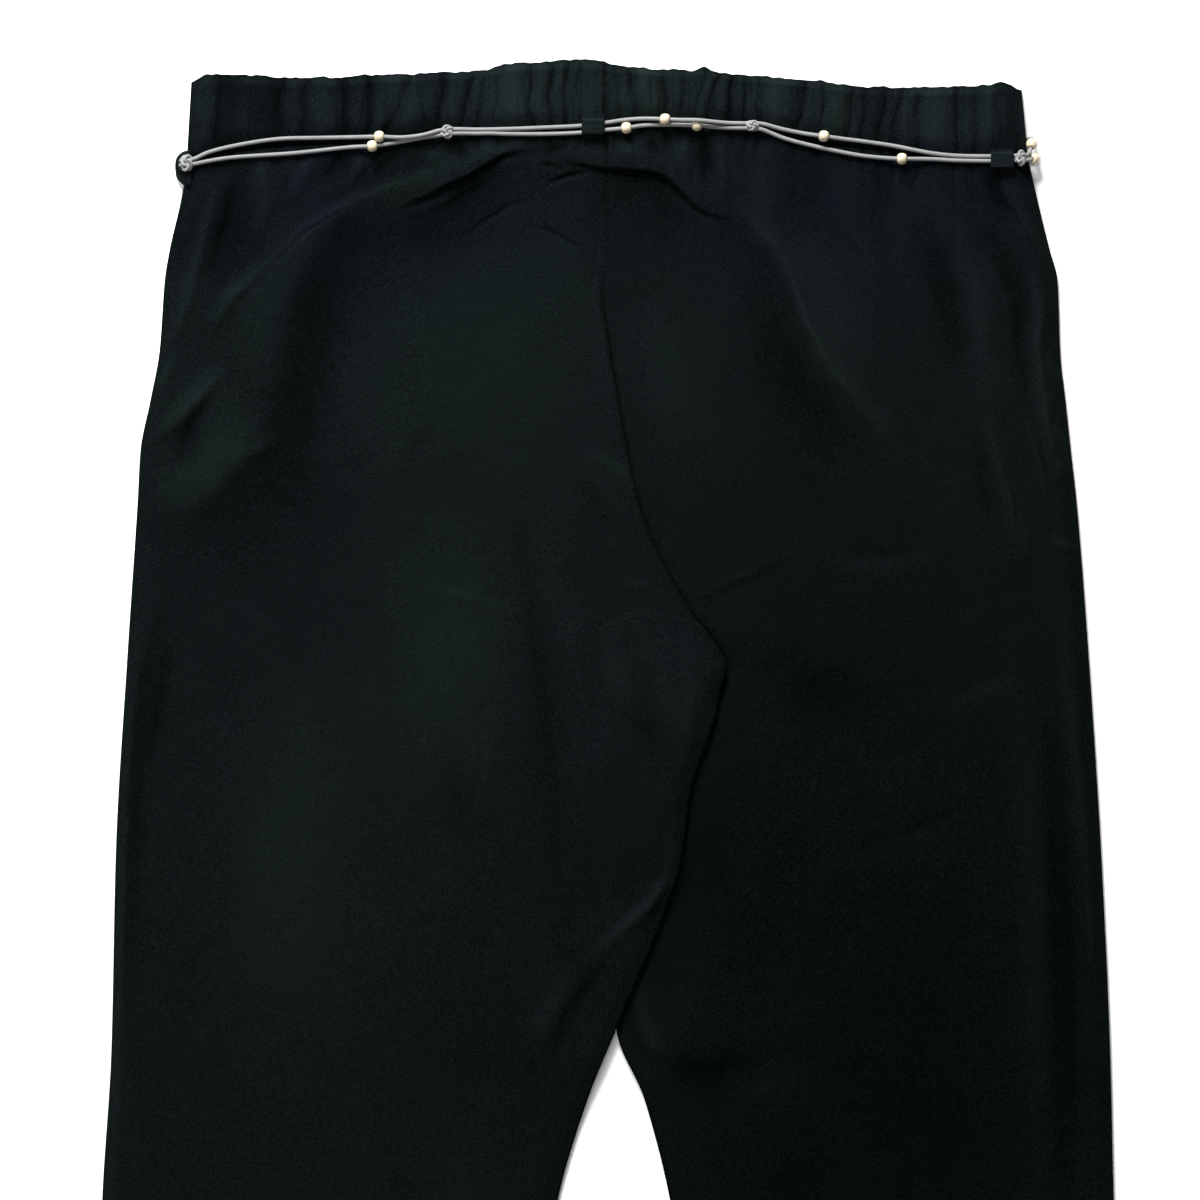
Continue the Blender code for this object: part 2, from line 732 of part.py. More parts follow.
# The belt loops on the back: their edges, and the height at which each bridges the cord
Strip = namedtuple("Strip", "name x_from x_to cord_from cord_to over_cord downs")
BACK_LOOPS = (
    Strip("belt_loop_back", -12.6, -0.6, 28.5, 46.5, 11.0, (2, 9, 18, 25, 29, 32, 35, 39.5, 42.5, 45.5, 48)),
    Strip("belt_loop_right", 210.8, 222.8, 47.0, 61.8, 11.6, (46, 49, 51.5, 54.3, 57.5, 60.5, 63)),
)
BRIDGE_RISES = 4.5
LOOP_AIR = GAP + 0.15


def belt_strip(strip):
    """A strip of cloth that lies on the band and the panel and bridges the cord."""
    across = [strip.x_from + i * (strip.x_to - strip.x_from) / 3 for i in range(4)]
    rows = []
    for down in strip.downs:
        lying = 0.0
        for x in across:
            if down < band_seam(x):
                share = (band_seam(x) - down) / (band_seam(x) - waist_top(x))
                lying = max(lying, band_back_bottom(x, down, share) + WALL)
            else:
                lying = max(lying, back_bottom(x, down, "right") + WALL)
        rising = ease((down - strip.cord_from) / BRIDGE_RISES)
        falling = ease((strip.cord_to - down) / BRIDGE_RISES)
        height = max(lying + LOOP_AIR, strip.over_cord * rising * falling)
        rows.append([(x, down, height) for x in across])
    return cloth_wall(strip.name, rows, LOOP_WALL)


SIDE_LOOP = (
    Line(-231.2, 47.4),
    Line(-235.9, 50.0),
    Line(-239.0, 55.0),
    Line(-239.4, 60.0),
    Line(-237.4, 65.0),
    Line(-233.5, 69.6),
)
SIDE_LOOP_WIDTH = 6.8
SIDE_LOOP_LIFT = 0.5
SIDE_LOOP_SPACING = 1.6


def side_loop(name):
    """The loop at the left side, which stands out round the cord where it turns under."""
    curve = bpy.data.curves.new(name, "CURVE")
    curve.dimensions = "2D"
    curve.fill_mode = "BOTH"
    curve.extrude = SIDE_LOOP_WIDTH / 2 * MM
    spline = curve.splines.new("POLY")
    ring = smooth_path([Place(line.x, line.down, 0.0) for line in SIDE_LOOP], SIDE_LOOP_SPACING)
    outer = []
    for i, place in enumerate(ring):
        ahead, behind = ring[min(i + 1, len(ring) - 1)], ring[max(i - 1, 0)]
        along = (ahead - behind).normalized()
        outer.append(place + Vector((-along.y, along.x, 0.0)) * LOOP_WALL)
    points = ring + outer[::-1]
    spline.points.add(len(points) - 1)
    for point, place in zip(spline.points, points):
        flat = world(place.x, place.y, 0.0)
        point.co = (flat.x, flat.y, 0.0, 1.0)
    spline.use_cyclic_u = True
    obj = add_object(name, curve, CLOTH)
    obj.location.z = (SIDE_LOOP_LIFT + SIDE_LOOP_WIDTH / 2) * MM
    return obj


CURVE_STEPS = 16


def smooth_path(places, spacing):
    """Places at an even spacing along a smooth curve through the given ones."""
    points = [Vector((p.x, p.down, p.height)) for p in places]
    points = [2 * points[0] - points[1]] + points + [2 * points[-1] - points[-2]]
    dense = []
    for a, b, c, d in zip(points, points[1:], points[2:], points[3:]):
        ab, bc, cd = ((q - p).length ** 0.5 for p, q in ((a, b), (b, c), (c, d)))
        leave = bc * ((b - a) / ab - (c - a) / (ab + bc) + (c - b) / bc)
        reach = bc * ((c - b) / bc - (d - b) / (bc + cd) + (d - c) / cd)
        for i in range(CURVE_STEPS):
            t = i / CURVE_STEPS
            dense.append(
                (2 * t**3 - 3 * t**2 + 1) * b
                + (t**3 - 2 * t**2 + t) * leave
                + (3 * t**2 - 2 * t**3) * c
                + (t**3 - t**2) * reach
            )
    dense.append(points[-2])
    travelled = [0.0]
    for before, after in zip(dense, dense[1:]):
        travelled.append(travelled[-1] + (after - before).length)
    count = max(2, round(travelled[-1] / spacing))
    even, i = [], 0
    for step in range(count + 1):
        wanted = travelled[-1] * step / count
        while i < len(dense) - 2 and travelled[i + 1] < wanted:
            i += 1
        run = travelled[i + 1] - travelled[i]
        even.append(dense[i].lerp(dense[i + 1], (wanted - travelled[i]) / run))
    return even


KNOT_END_AIR = GAP + 0.45
KNOT_OVER_AIR = 1.0
FINE_SPACING = 0.4
LEAST_RUN = 3


def in_knot(place):
    """Whether a point of the cord lies inside a knot, with the gap to its face."""
    for knot in KNOTS:
        near_x = abs(place.x - knot.x) < KNOT_LENGTH / 2 + KNOT_END_AIR
        near_down = abs(place.y - knot.down) < KNOT_WIDTH / 2 + CORD / 2
        half_height = KNOT_WIDTH * KNOT_FLATNESS / 2 + KNOT_OVER_AIR
        if near_x and near_down and abs(place.z - knot.height) < half_height:
            return True
    return False


def cord_stretches(places):
    """The runs of a strand between one knot and the next, as evenly spaced places."""
    runs, run = [], []
    for place in smooth_path(places, FINE_SPACING):
        if in_knot(place):
            if len(run) > LEAST_RUN:
                runs.append(run)
            run = []
        else:
            run.append(place)
    if len(run) > LEAST_RUN:
        runs.append(run)
    return [spaced_out(run) for run in runs]


def spaced_out(run):
    """Every few places of a run, closer together where the cord turns round a side."""
    picked, travelled = [run[0]], 0.0
    for before, after in zip(run, run[1:]):
        travelled += (after - before).length
        spacing = SIDE_SPACING if abs(after.x) > SIDE_TURN_FROM else POINT_SPACING
        if travelled >= spacing:
            picked.append(after)
            travelled = 0.0
    return picked[:-1] + [run[-1]] if travelled < CORD else picked + [run[-1]]


def cord_tube(name, places):
    curve = bpy.data.curves.new(name, "CURVE")
    curve.dimensions = "3D"
    curve.bevel_depth = CORD / 2 * MM
    curve.bevel_resolution = 2
    curve.use_fill_caps = True
    spline = curve.splines.new("POLY")
    spline.points.add(len(places) - 1)
    for point, place in zip(spline.points, places):
        point.co = (*world(place.x, place.y, place.z), 1.0)
    return add_object(name, curve, BRAID)


TURNED_STEPS = 12
MERGE_DISTANCE = 0.00001
BEAD_PATH_SPACING = 0.8
KNOT_SHOULDER = 0.66
KNOT_BELLY = 0.94
BEAD_RIM = 0.78
BEAD_BELLY = 0.45


def turned(name, profile, finish, closed):
    """A round piece turned about its own Z axis from a profile of (radius, height) in millimetres."""
    mesh = bpy.data.meshes.new(name)
    shape = bmesh.new()
    points = [shape.verts.new((radius * MM, 0.0, height * MM)) for radius, height in profile]
    for a, b in zip(points, points[1:] + points[:1] if closed else points[1:]):
        shape.edges.new((a, b))
    shape.to_mesh(mesh)
    shape.free()
    obj = add_object(name, mesh, finish)
    screw = obj.modifiers.new("Turning", "SCREW")
    screw.steps = TURNED_STEPS
    screw.render_steps = TURNED_STEPS
    screw.use_merge_vertices = True
    screw.merge_threshold = MERGE_DISTANCE
    return obj


def point_along(obj, along):
    obj.rotation_mode = "QUATERNION"
    obj.rotation_quaternion = Vector(along).to_track_quat("Z", "Y")


def add_knot(knot):
    """A knot of both strands, drawn tight, as a short barrel flattened on the cloth."""
    half, wide = KNOT_LENGTH / 2, KNOT_WIDTH / 2
    shoulder, belly = KNOT_SHOULDER * wide, KNOT_BELLY * wide
    profile = ((0.0, half), (shoulder, half), (belly, half / 2), (wide, 0.0))
    profile += ((belly, -half / 2), (shoulder, -half), (0.0, -half))
    obj = turned(knot.name, profile, BRAID, closed=False)
    obj.scale = (KNOT_FLATNESS, 1.0, 1.0)
    obj.rotation_euler = (0.0, math.radians(90), 0.0)
    obj.location = world(knot.x, knot.down, knot.height)
    return obj


def add_bead(bead, path):
    """A small turned wooden bead, bored for the cord, on the strand's own line."""
    target = Vector((bead.x, bead.down, bead.height))
    i = min(range(1, len(path) - 1), key=lambda n: (path[n] - target).length)
    before, after = world(*path[i - 1]), world(*path[i + 1])
    bore, round_out, half = BEAD_BORE / 2, BEAD / 2, BEAD_LENGTH / 2
    rim, belly = BEAD_RIM * round_out, BEAD_BELLY * half
    profile = ((bore, half), (rim, half), (round_out, belly), (round_out, -belly))
    profile += ((rim, -half), (bore, -half))
    obj = turned(bead.name, profile, WOOD, closed=True)
    obj.location = world(*path[i])
    point_along(obj, after - before)
    return obj


for old in list(bpy.data.objects):
    bpy.data.objects.remove(old, do_unlink=True)
collection = bpy.data.collections.new("drawstring_trousers")
bpy.context.scene.collection.children.link(collection)

# The two fronts, flat on the surface
cloth_wall("front_left", left_panel(front_bottom, FRONT_COLUMNS, EVERY_THIRD_ROW))
cloth_wall("front_right", right_panel(front_bottom, FRONT_COLUMNS, EVERY_THIRD_ROW))

# The two backs, over them
cloth_wall("back_left", left_panel(back_bottom, BACK_COLUMNS, EVERY_ROW))
cloth_wall("back_right", right_panel(back_bottom, BACK_COLUMNS, EVERY_ROW))

# The waistband's two halves
front_columns = [
    (
        BAND_LEFT_END.at_seam + i * (BAND_RIGHT_END.at_seam - BAND_LEFT_END.at_seam) / FRONT_BAND_COLUMNS,
        BAND_LEFT_END.at_top + i * (BAND_RIGHT_END.at_top - BAND_LEFT_END.at_top) / FRONT_BAND_COLUMNS,
    )
    for i in range(FRONT_BAND_COLUMNS + 1)
]
cloth_wall("waistband_front", band_rows(front_columns, BAND_SHARES, band_front_bottom))
cloth_wall("waistband_back", band_rows(back_band_columns(), BAND_SHARES, band_back_bottom))

# The belt loops
for strip in BACK_LOOPS:
    belt_strip(strip)
side_loop("belt_loop_left")

# The drawstring, its knots and its beads
strands = {"upper": UPPER_STRAND, "lower": LOWER_STRAND}
for strand, places in strands.items():
    for number, stretch in enumerate(cord_stretches(places), 1):
        cord_tube(f"cord_{strand}_{number}", stretch)
for knot in KNOTS:
    add_knot(knot)
for bead in BEADS:
    add_bead(bead, smooth_path(strands[bead.strand], BEAD_PATH_SPACING))
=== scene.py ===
"""The looks of a pair of black drawstring trousers, laid flat with the back side up.

Every section makes one kind of piece: first the drawstring with its knots and beads, then
the cloth around it. Tables give places in millimetres: x to the right of the centre back
seam, and down from the top of the waist, as the construction drawing does.
"""

import math

import bmesh
import bpy
import numpy as np
from mathutils import Matrix, Vector


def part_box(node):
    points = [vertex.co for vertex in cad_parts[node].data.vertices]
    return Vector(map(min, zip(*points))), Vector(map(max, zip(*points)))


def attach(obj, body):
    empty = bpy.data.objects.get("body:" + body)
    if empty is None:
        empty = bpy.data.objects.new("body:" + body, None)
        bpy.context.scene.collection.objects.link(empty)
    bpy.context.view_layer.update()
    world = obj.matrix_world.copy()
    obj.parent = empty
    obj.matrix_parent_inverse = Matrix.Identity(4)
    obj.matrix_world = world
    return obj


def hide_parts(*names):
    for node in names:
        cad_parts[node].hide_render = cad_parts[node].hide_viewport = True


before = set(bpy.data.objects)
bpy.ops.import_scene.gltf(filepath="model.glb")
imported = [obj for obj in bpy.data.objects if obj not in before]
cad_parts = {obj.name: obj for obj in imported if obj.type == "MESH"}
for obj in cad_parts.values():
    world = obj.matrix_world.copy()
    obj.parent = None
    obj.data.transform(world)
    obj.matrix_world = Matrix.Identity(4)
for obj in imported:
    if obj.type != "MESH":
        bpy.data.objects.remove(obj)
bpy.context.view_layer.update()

# The camera
# It looks straight down on the waist, hips and thighs, as the photograph does, from
# far enough away for the sides of the garment to be seen without slant.

MM = 0.001
MIDDLE_X = 1.6
MIDDLE_DOWN = 504.1
VIEW_ACROSS = 0.66
CAMERA_HEIGHT = 4.0


def laid(x, down, height=0.0):
    """A place of the laid garment in the frame, in metres."""
    return Vector(((x - MIDDLE_X) * MM, (MIDDLE_DOWN - down) * MM, height * MM))


def laid_rows(x, down, height):
    """The same for arrays of places, one a row."""
    return np.column_stack(((x - MIDDLE_X) * MM, (MIDDLE_DOWN - down) * MM, height * MM))


camera = bpy.data.objects.new("camera", bpy.data.cameras.new("camera"))
bpy.context.scene.collection.objects.link(camera)
camera.location = laid(-3.85, 297.0) + Vector((0, 0, CAMERA_HEIGHT))
camera.data.lens = camera.data.sensor_width * (CAMERA_HEIGHT - 0.008) / VIEW_ACROSS
bpy.context.scene.camera = camera

# The floor and the light
# A white sheet of paper fills the view, and three soft boxes light it: one beyond the
# waist that rakes across the folds, a wide high one and a weak one at the left.


class Socket:
    """The output of a shader node, with the operators that add Math nodes."""

    def __init__(self, tree, output):
        self.tree, self.output = tree, output

    def node(self, kind, settings=None, out=0, **inputs):
        """Adds a node, sets its settings, gives its sockets values or links."""
        made = self.tree.nodes.new(kind)
        for name, value in (settings or {}).items():
            setattr(made, name, value)
        for name, value in inputs.items():
            key = int(name[1:]) if name[0] == "i" and name[1:].isdigit() else name.replace("_", " ")
            if isinstance(value, Socket):
                self.tree.links.new(value.output, made.inputs[key])
            else:
                made.inputs[key].default_value = value
        return Socket(self.tree, made.outputs[out])

    def maths(self, operation, a, b=0.0):
        return self.node("ShaderNodeMath", {"operation": operation}, i0=a, i1=b)

    def __add__(self, other):
        return self.maths("ADD", self, other)

    def __sub__(self, other):
        return self.maths("SUBTRACT", self, other)

    def __mul__(self, other):
        return self.maths("MULTIPLY", self, other)

    def __rsub__(self, other):
        return self.maths("SUBTRACT", other, self)

    __radd__, __rmul__ = __add__, __mul__


def finish_of(name, **plain):
    """A new material: its shader with plain values set, and a socket to build on."""
    made = bpy.data.materials.new(name)
    made.use_nodes = True
    tree = made.node_tree
    shader = tree.nodes["Principled BSDF"]
    for key, value in plain.items():
        shader.inputs[key.replace("_", " ")].default_value = value
    return made, shader, Socket(tree, None)


def feed(shader, name, socket):
    socket.tree.links.new(socket.output, shader.inputs[name])


def add_mesh(name, mesh, material):
    obj = bpy.data.objects.new(name, mesh)
    bpy.context.scene.collection.objects.link(obj)
    mesh.materials.append(material)
    return obj


def soft_box(name, place, size, watts):
    """A square lamp that looks at the hips."""
    lamp = bpy.data.lights.new(name, "AREA")
    lamp.size, lamp.energy = size, watts
    obj = bpy.data.objects.new(name, lamp)
    bpy.context.scene.collection.objects.link(obj)
    obj.location = place
    aim = Vector((0.0, 0.1, 0.0)) - Vector(place)
    obj.rotation_euler = aim.to_track_quat("-Z", "Y").to_euler()


paper = bmesh.new()
bmesh.ops.create_grid(paper, x_segments=8, y_segments=8, size=4.0)
bmesh.ops.translate(paper, verts=paper.verts, vec=(0, 0, -0.0002))
paper_mesh = bpy.data.meshes.new("paper")
paper.to_mesh(paper_mesh)
paper.free()
paper_finish, paper_shader, at = finish_of("paper", Roughness=0.9, Specular_IOR_Level=0.1)
fibre = at.node("ShaderNodeTexNoise", Scale=900.0, Vector=at.node("ShaderNodeTexCoord", out=3))
feed(paper_shader, "Base Color", at.node(
    "ShaderNodeMix", {"data_type": "RGBA"}, out=2, Factor=fibre,
    i6=(0.93, 0.93, 0.93, 1.0), i7=(0.96, 0.96, 0.96, 1.0),
))
paper_floor = add_mesh("paper", paper_mesh, paper_finish)

soft_box("box_over_the_waist", (-0.35, 2.0, 1.1), 0.8, 135.0)
soft_box("box_above", (-0.5, 0.0, 2.4), 1.6, 22.0)
soft_box("box_at_the_left", (-1.9, 0.1, 1.0), 0.8, 14.0)
world = bpy.data.worlds.new("studio")
bpy.context.scene.world = world
world.use_nodes = True
world.node_tree.nodes["Background"].inputs["Color"].default_value = (1.0, 1.0, 1.0, 1.0)
world.node_tree.nodes["Background"].inputs["Strength"].default_value = 0.16
bpy.context.scene.view_settings.view_transform = "Standard"
bpy.context.scene.view_settings.look = "None"

# The drawstring
# Two strands of a round, waxed and braided cord, 2.2 mm thick and pale grey. Both run
# from a knot under the front round the left side, through the loops on the back and
# round the right side to the same knot.

CORD = 2.2
RIB = 0.0011
RIBS_AROUND = 4.0
UPPER_STRAND = (
    (-5.0, 35.0, 2.4), (-14, 35.9, 1.6), (-24, 36.6, 1.4), (-50, 37.7, 1.4), (-88, 38.7, 1.4),
    (-130, 42.7, 1.4), (-180, 46.2, 1.4), (-208, 50.2, 1.4), (-226, 54.2, 1.4), (-233, 55.2, 1.5),
    (-234.3, 55.4, 3.0), (-235.0, 55.4, 5.5), (-234.2, 55.4, 8.4), (-231, 55.4, 9.8),
    (-226.6, 54.3, 9.7), (-220, 51.2, 9.4), (-208, 47.9, 9.4), (-181.5, 43.6, 9.4),
    (-158, 42.9, 9.4), (-136, 42.5, 9.8), (-125.6, 42.3, 11.2), (-113, 42.8, 11.7),
    (-101, 41.4, 11.7), (-92, 38.9, 11.2), (-87.6, 38.3, 10.8), (-82, 38.2, 10.7),
    (-73, 38.3, 9.5), (-58, 38.1, 9.4), (-36, 37.3, 9.4), (-14, 36.2, 9.4), (0, 34.5, 9.4),
    (10, 33.0, 9.4), (21, 32.4, 10.2), (31.9, 32.9, 12.9), (40, 33.3, 13.4), (49.5, 33.5, 14.7),
    (58, 34.2, 12.6), (66, 34.8, 10.8), (75, 35.0, 10.8), (80, 35.0, 10.8), (85, 35.2, 10.7),
    (96, 38.0, 9.5), (109, 40.6, 9.7), (119.4, 42.1, 11.1), (130, 43.5, 9.7), (139, 44.6, 9.4),
    (157, 47.2, 9.4), (177.7, 51.2, 9.4), (192, 52.7, 9.4), (212, 53.0, 9.4), (222, 52.8, 10.0),
    (227.7, 52.7, 10.6), (231.2, 52.4, 10.4), (232.6, 50.2, 9.2), (233.7, 46.5, 7.0),
    (234.6, 43.3, 4.8), (234.2, 42.4, 2.5), (231.6, 43.3, 1.4), (227, 45.8, 1.4), (218, 50.0, 1.4),
    (205, 52.6, 1.4), (192, 52.6, 1.4), (160, 49.7, 1.4), (120, 43.8, 1.4), (90, 37.8, 1.4),
    (60, 34.2, 1.4), (32, 33.2, 1.4), (14, 34.0, 1.6), (5.0, 35.0, 2.4),
)
LOWER_STRAND = (
    (-5.0, 37.7, 2.4), (-14, 38.6, 1.6), (-24, 39.1, 1.4), (-50, 40.3, 1.4), (-88, 41.3, 1.4),
    (-130, 45.3, 1.4), (-180, 48.8, 1.4), (-208, 52.9, 1.4), (-226, 57.0, 1.4), (-233, 57.9, 1.5),
    (-234.3, 57.9, 3.0), (-235.0, 57.9, 5.5), (-234.2, 57.9, 8.4), (-231, 57.9, 9.8),
    (-226.6, 57.2, 9.7), (-220, 55.8, 9.4), (-208, 53.9, 9.4), (-171, 51.2, 9.4),
    (-145, 48.4, 9.4), (-137, 47.8, 9.9), (-128.8, 47.5, 11.1), (-120, 46.2, 9.9),
    (-112, 44.8, 9.4), (-103, 43.1, 9.4), (-96, 42.0, 9.8), (-92, 41.4, 10.4), (-87.6, 41.0, 10.8),
    (-82, 40.5, 10.7), (-73, 40.5, 9.5), (-64, 40.4, 9.4), (-56, 40.7, 9.4), (-35, 40.8, 9.4),
    (-14, 40.0, 9.4), (0, 38.5, 9.5), (10.3, 37.6, 11.1), (20, 36.1, 9.6), (32, 35.7, 9.4),
    (41, 35.8, 9.7),
    (49.5, 36.1, 11.1), (58, 36.9, 9.8), (66, 37.4, 9.7), (75, 37.6, 10.6), (80, 37.6, 10.8),
    (85, 38.3, 10.6), (91, 40.6, 9.5), (98, 43.3, 9.4), (118, 48.4, 9.4), (139, 52.5, 9.4),
    (152, 53.9, 9.7), (162.2, 54.5, 11.1), (172, 54.5, 9.7), (181, 54.7, 9.4), (192, 55.3, 9.4),
    (212, 55.6, 9.4), (222, 55.4, 10.0), (227.7, 55.3, 10.6), (231.2, 55.0, 10.4),
    (233.2, 54.7, 9.6), (235.0, 54.2, 7.4), (236.5, 53.8, 5.0), (236.3, 53.9, 3.0),
    (234.0, 54.5, 1.5), (230, 55.0, 1.4), (218, 55.5, 1.4), (205, 55.3, 1.4), (192, 55.2, 1.4),
    (160, 52.3, 1.4), (120, 46.4, 1.4), (90, 40.4, 1.4), (60, 36.8, 1.4), (32, 35.9, 1.4),
    (14, 36.8, 1.6), (5.0, 37.7, 2.4),
)


def smooth_path(places, spacing):
    """Places at an even spacing along a smooth curve through the given ones."""
    points = [Vector(p) for p in places]
    points = [2 * points[0] - points[1]] + points + [2 * points[-1] - points[-2]]
    dense = []
    for a, b, c, d in zip(points, points[1:], points[2:], points[3:]):
        ab, bc, cd = ((q - p).length ** 0.5 for p, q in ((a, b), (b, c), (c, d)))
        leave = bc * ((b - a) / ab - (c - a) / (ab + bc) + (c - b) / bc)
        reach = bc * ((c - b) / bc - (d - b) / (bc + cd) + (d - c) / cd)
        for t in (i / 16 for i in range(16)):
            dense.append(
                (2 * t**3 - 3 * t**2 + 1) * b + (t**3 - 2 * t**2 + t) * leave
                + (3 * t**2 - 2 * t**3) * c + (t**3 - t**2) * reach
            )
    dense.append(points[-2])
    steps = [(q - p).length for p, q in zip(dense, dense[1:])]
    travelled = np.concatenate(([0.0], np.cumsum(steps)))
    wanted = np.linspace(0.0, travelled[-1], max(3, round(travelled[-1] / spacing) + 1))
    axes = np.array([tuple(p) for p in dense]).T
    return [Vector(p) for p in zip(*(np.interp(wanted, travelled, axis) for axis in axes))]


def tube(name, paths, radius, sides, material, closed=False):
    """Round cord or thread along paths of places in metres, as a mesh with its own UV map."""
    curve = bpy.data.curves.new(name, "CURVE")
    curve.dimensions = "3D"
    curve.bevel_depth = radius
    curve.bevel_resolution = sides // 2 - 2
    curve.use_fill_caps = not closed
    for path in paths:
        spline = curve.splines.new("POLY")
        spline.points.add(len(path) - 1)
        for point, place in zip(spline.points, path):
            point.co = (*place, 1.0)
        spline.use_cyclic_u = closed
    carrier = bpy.data.objects.new(name + "_line", curve)
    mesh = bpy.data.meshes.new_from_object(carrier)
    bpy.data.objects.remove(carrier)
    mesh.name = name
    mesh.materials.clear()
    mesh.shade_smooth()
    return add_mesh(name, mesh, material)


def braid_finish(name, length, pale, dark):
    """A fine round braid: crossing ribs that follow the piece's own UV map. Its colour is painted
    darker in the grooves between the ribs, a painted shade, and is mottled at random.
    """
    made, shader, at = finish_of(name, Specular_IOR_Level=0.35, Sheen_Weight=0.15)
    along = at.node("ShaderNodeUVMap")
    split = at.node("ShaderNodeSeparateXYZ", i0=along)
    across = at.node("ShaderNodeSeparateXYZ", out=1, i0=along)
    turns = across * RIBS_AROUND
    ribs_one = at.maths("SINE", (split * (length / RIB) + turns) * (2 * math.pi))
    ribs_two = at.maths("SINE", (split * (length / RIB) - turns) * (2 * math.pi))
    braid = at.maths("MAXIMUM", ribs_one, ribs_two)
    where = at.node("ShaderNodeTexCoord", out=3)
    soil = at.node("ShaderNodeTexNoise", Scale=160.0, Detail=4.0, Vector=where)
    feed(shader, "Base Color", at.node(
        "ShaderNodeMix", {"data_type": "RGBA"}, out=2,
        Factor=at.maths("MINIMUM", soil * 0.45 + (1 - braid) * 0.3, 1.0), i6=pale, i7=dark,
    ))
    feed(shader, "Roughness", soil * 0.2 + 0.5)
    feed(shader, "Normal", at.node("ShaderNodeBump", Strength=0.7, Distance=0.0002, Height=braid))
    return made


CORD_PALE, CORD_DARK = (0.235, 0.240, 0.232, 1.0), (0.070, 0.072, 0.072, 1.0)
strands = {}
for strand_name, route in (("upper", UPPER_STRAND), ("lower", LOWER_STRAND)):
    line = [laid(*place) for place in smooth_path(route, 2.0)]
    line_length = sum((q - p).length for p, q in zip(line, line[1:]))
    strand = tube(
        "drawstring_" + strand_name, [line], CORD / 2 * MM, 10,
        braid_finish("braided_cord_" + strand_name, line_length, CORD_PALE, CORD_DARK),
    )
    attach(strand, "root")
    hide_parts(*(f"cord_{strand_name}_{number}" for number in range(1, 6)))
    strands[strand_name] = (strand, line, line_length)

# The knots
# Both strands are tied together in a tight overhand knot at five places, which holds the
# beads and the loops between them. Each is one soft lump of crossing cord.

KNOTS = ("knot_left", "knot_back_left", "knot_back_right", "knot_right", "knot_front")
# Each knot's half width and half height in millimetres, its turn and its shift to the
# right. The cord is pulled tight in it, so its radius is smaller there.
KNOT_FORMS = {
    "knot_left": (3.7, 5.2, 0.9, 0.0), "knot_back_left": (4.3, 4.0, 0.2, 0.0),
    "knot_back_right": (3.9, 3.4, 2.4, 0.0), "knot_right": (3.3, 4.6, 1.5, 0.0),
    "knot_front": (3.0, 3.0, 0.0, 0.0),
}
TIGHT = 0.9
WOUND_LENGTH = 0.03
knot_finish = braid_finish("braided_cord_knots", WOUND_LENGTH, CORD_PALE, CORD_DARK)
knot_pieces = []
for knot_name in KNOTS:
    low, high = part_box(knot_name)
    half_width, half_height, turn, shift = KNOT_FORMS[knot_name]
    middle, half_deep = (low + high) / 2 + Vector((shift * MM, 0, 0)), (high.z - low.z) / 2
    reach = ((half_width - TIGHT) * MM, (half_height - TIGHT) * MM, half_deep - TIGHT * MM)
    wound = []
    for step in range(120):
        a = step / 120 * 2 * math.pi
        ring = 0.58 + 0.42 * math.cos(4 * a)
        place = (ring * math.cos(3 * a + turn), ring * math.sin(3 * a + turn), math.sin(4 * a))
        wound.append(middle + Vector(p * r for p, r in zip(place, reach)))
    knot = tube(knot_name + "_tied", [wound], TIGHT * MM, 10, knot_finish, closed=True)
    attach(knot, "root")
    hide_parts(knot_name)
    knot_pieces.append(knot)

# The beads
# Nine small barrels of pale wood, turned and bored, threaded on the strands. They are
# waxed, so their ends show the darker end grain and their sides a soft gloss.

BEADS_ON = {"upper": (1, 4, 6, 8), "lower": (2, 3, 5, 7, 9)}
BEAD_PROFILE = (
    (1.25, 2.2), (1.35, 2.62), (1.75, 2.66), (2.35, 2.25), (2.85, 1.55), (3.1, 0.75), (3.18, 0.0),
    (3.1, -0.75), (2.85, -1.55), (2.35, -2.25), (1.75, -2.66), (1.35, -2.62), (1.25, -2.2),
)
wood, wood_shader, at = finish_of(
    "turned_wood", Specular_IOR_Level=0.5, Coat_Weight=0.15, Coat_Roughness=0.35)
where = at.node("ShaderNodeTexCoord", out=3)
rings = at.node("ShaderNodeTexWave", {"wave_type": "RINGS"}, out=1, Scale=420.0, Distortion=5.0,
                Detail=2.0, Detail_Scale=1.5, Vector=where)
pores = at.node("ShaderNodeTexNoise", Scale=1500.0, Detail=3.0, Vector=where)
feed(wood_shader, "Base Color", at.node(
    "ShaderNodeMix", {"data_type": "RGBA"}, out=2,
    Factor=at.maths("MINIMUM", rings * 0.5 + pores * 0.3, 1.0),
    i6=(0.53, 0.47, 0.36, 1.0), i7=(0.30, 0.225, 0.12, 1.0),
))
feed(wood_shader, "Roughness", pores * 0.25 + 0.32)
feed(wood_shader, "Normal", at.node("ShaderNodeBump", Strength=0.35, Distance=0.0001, Height=rings))
bead_pieces = {"upper": [], "lower": []}
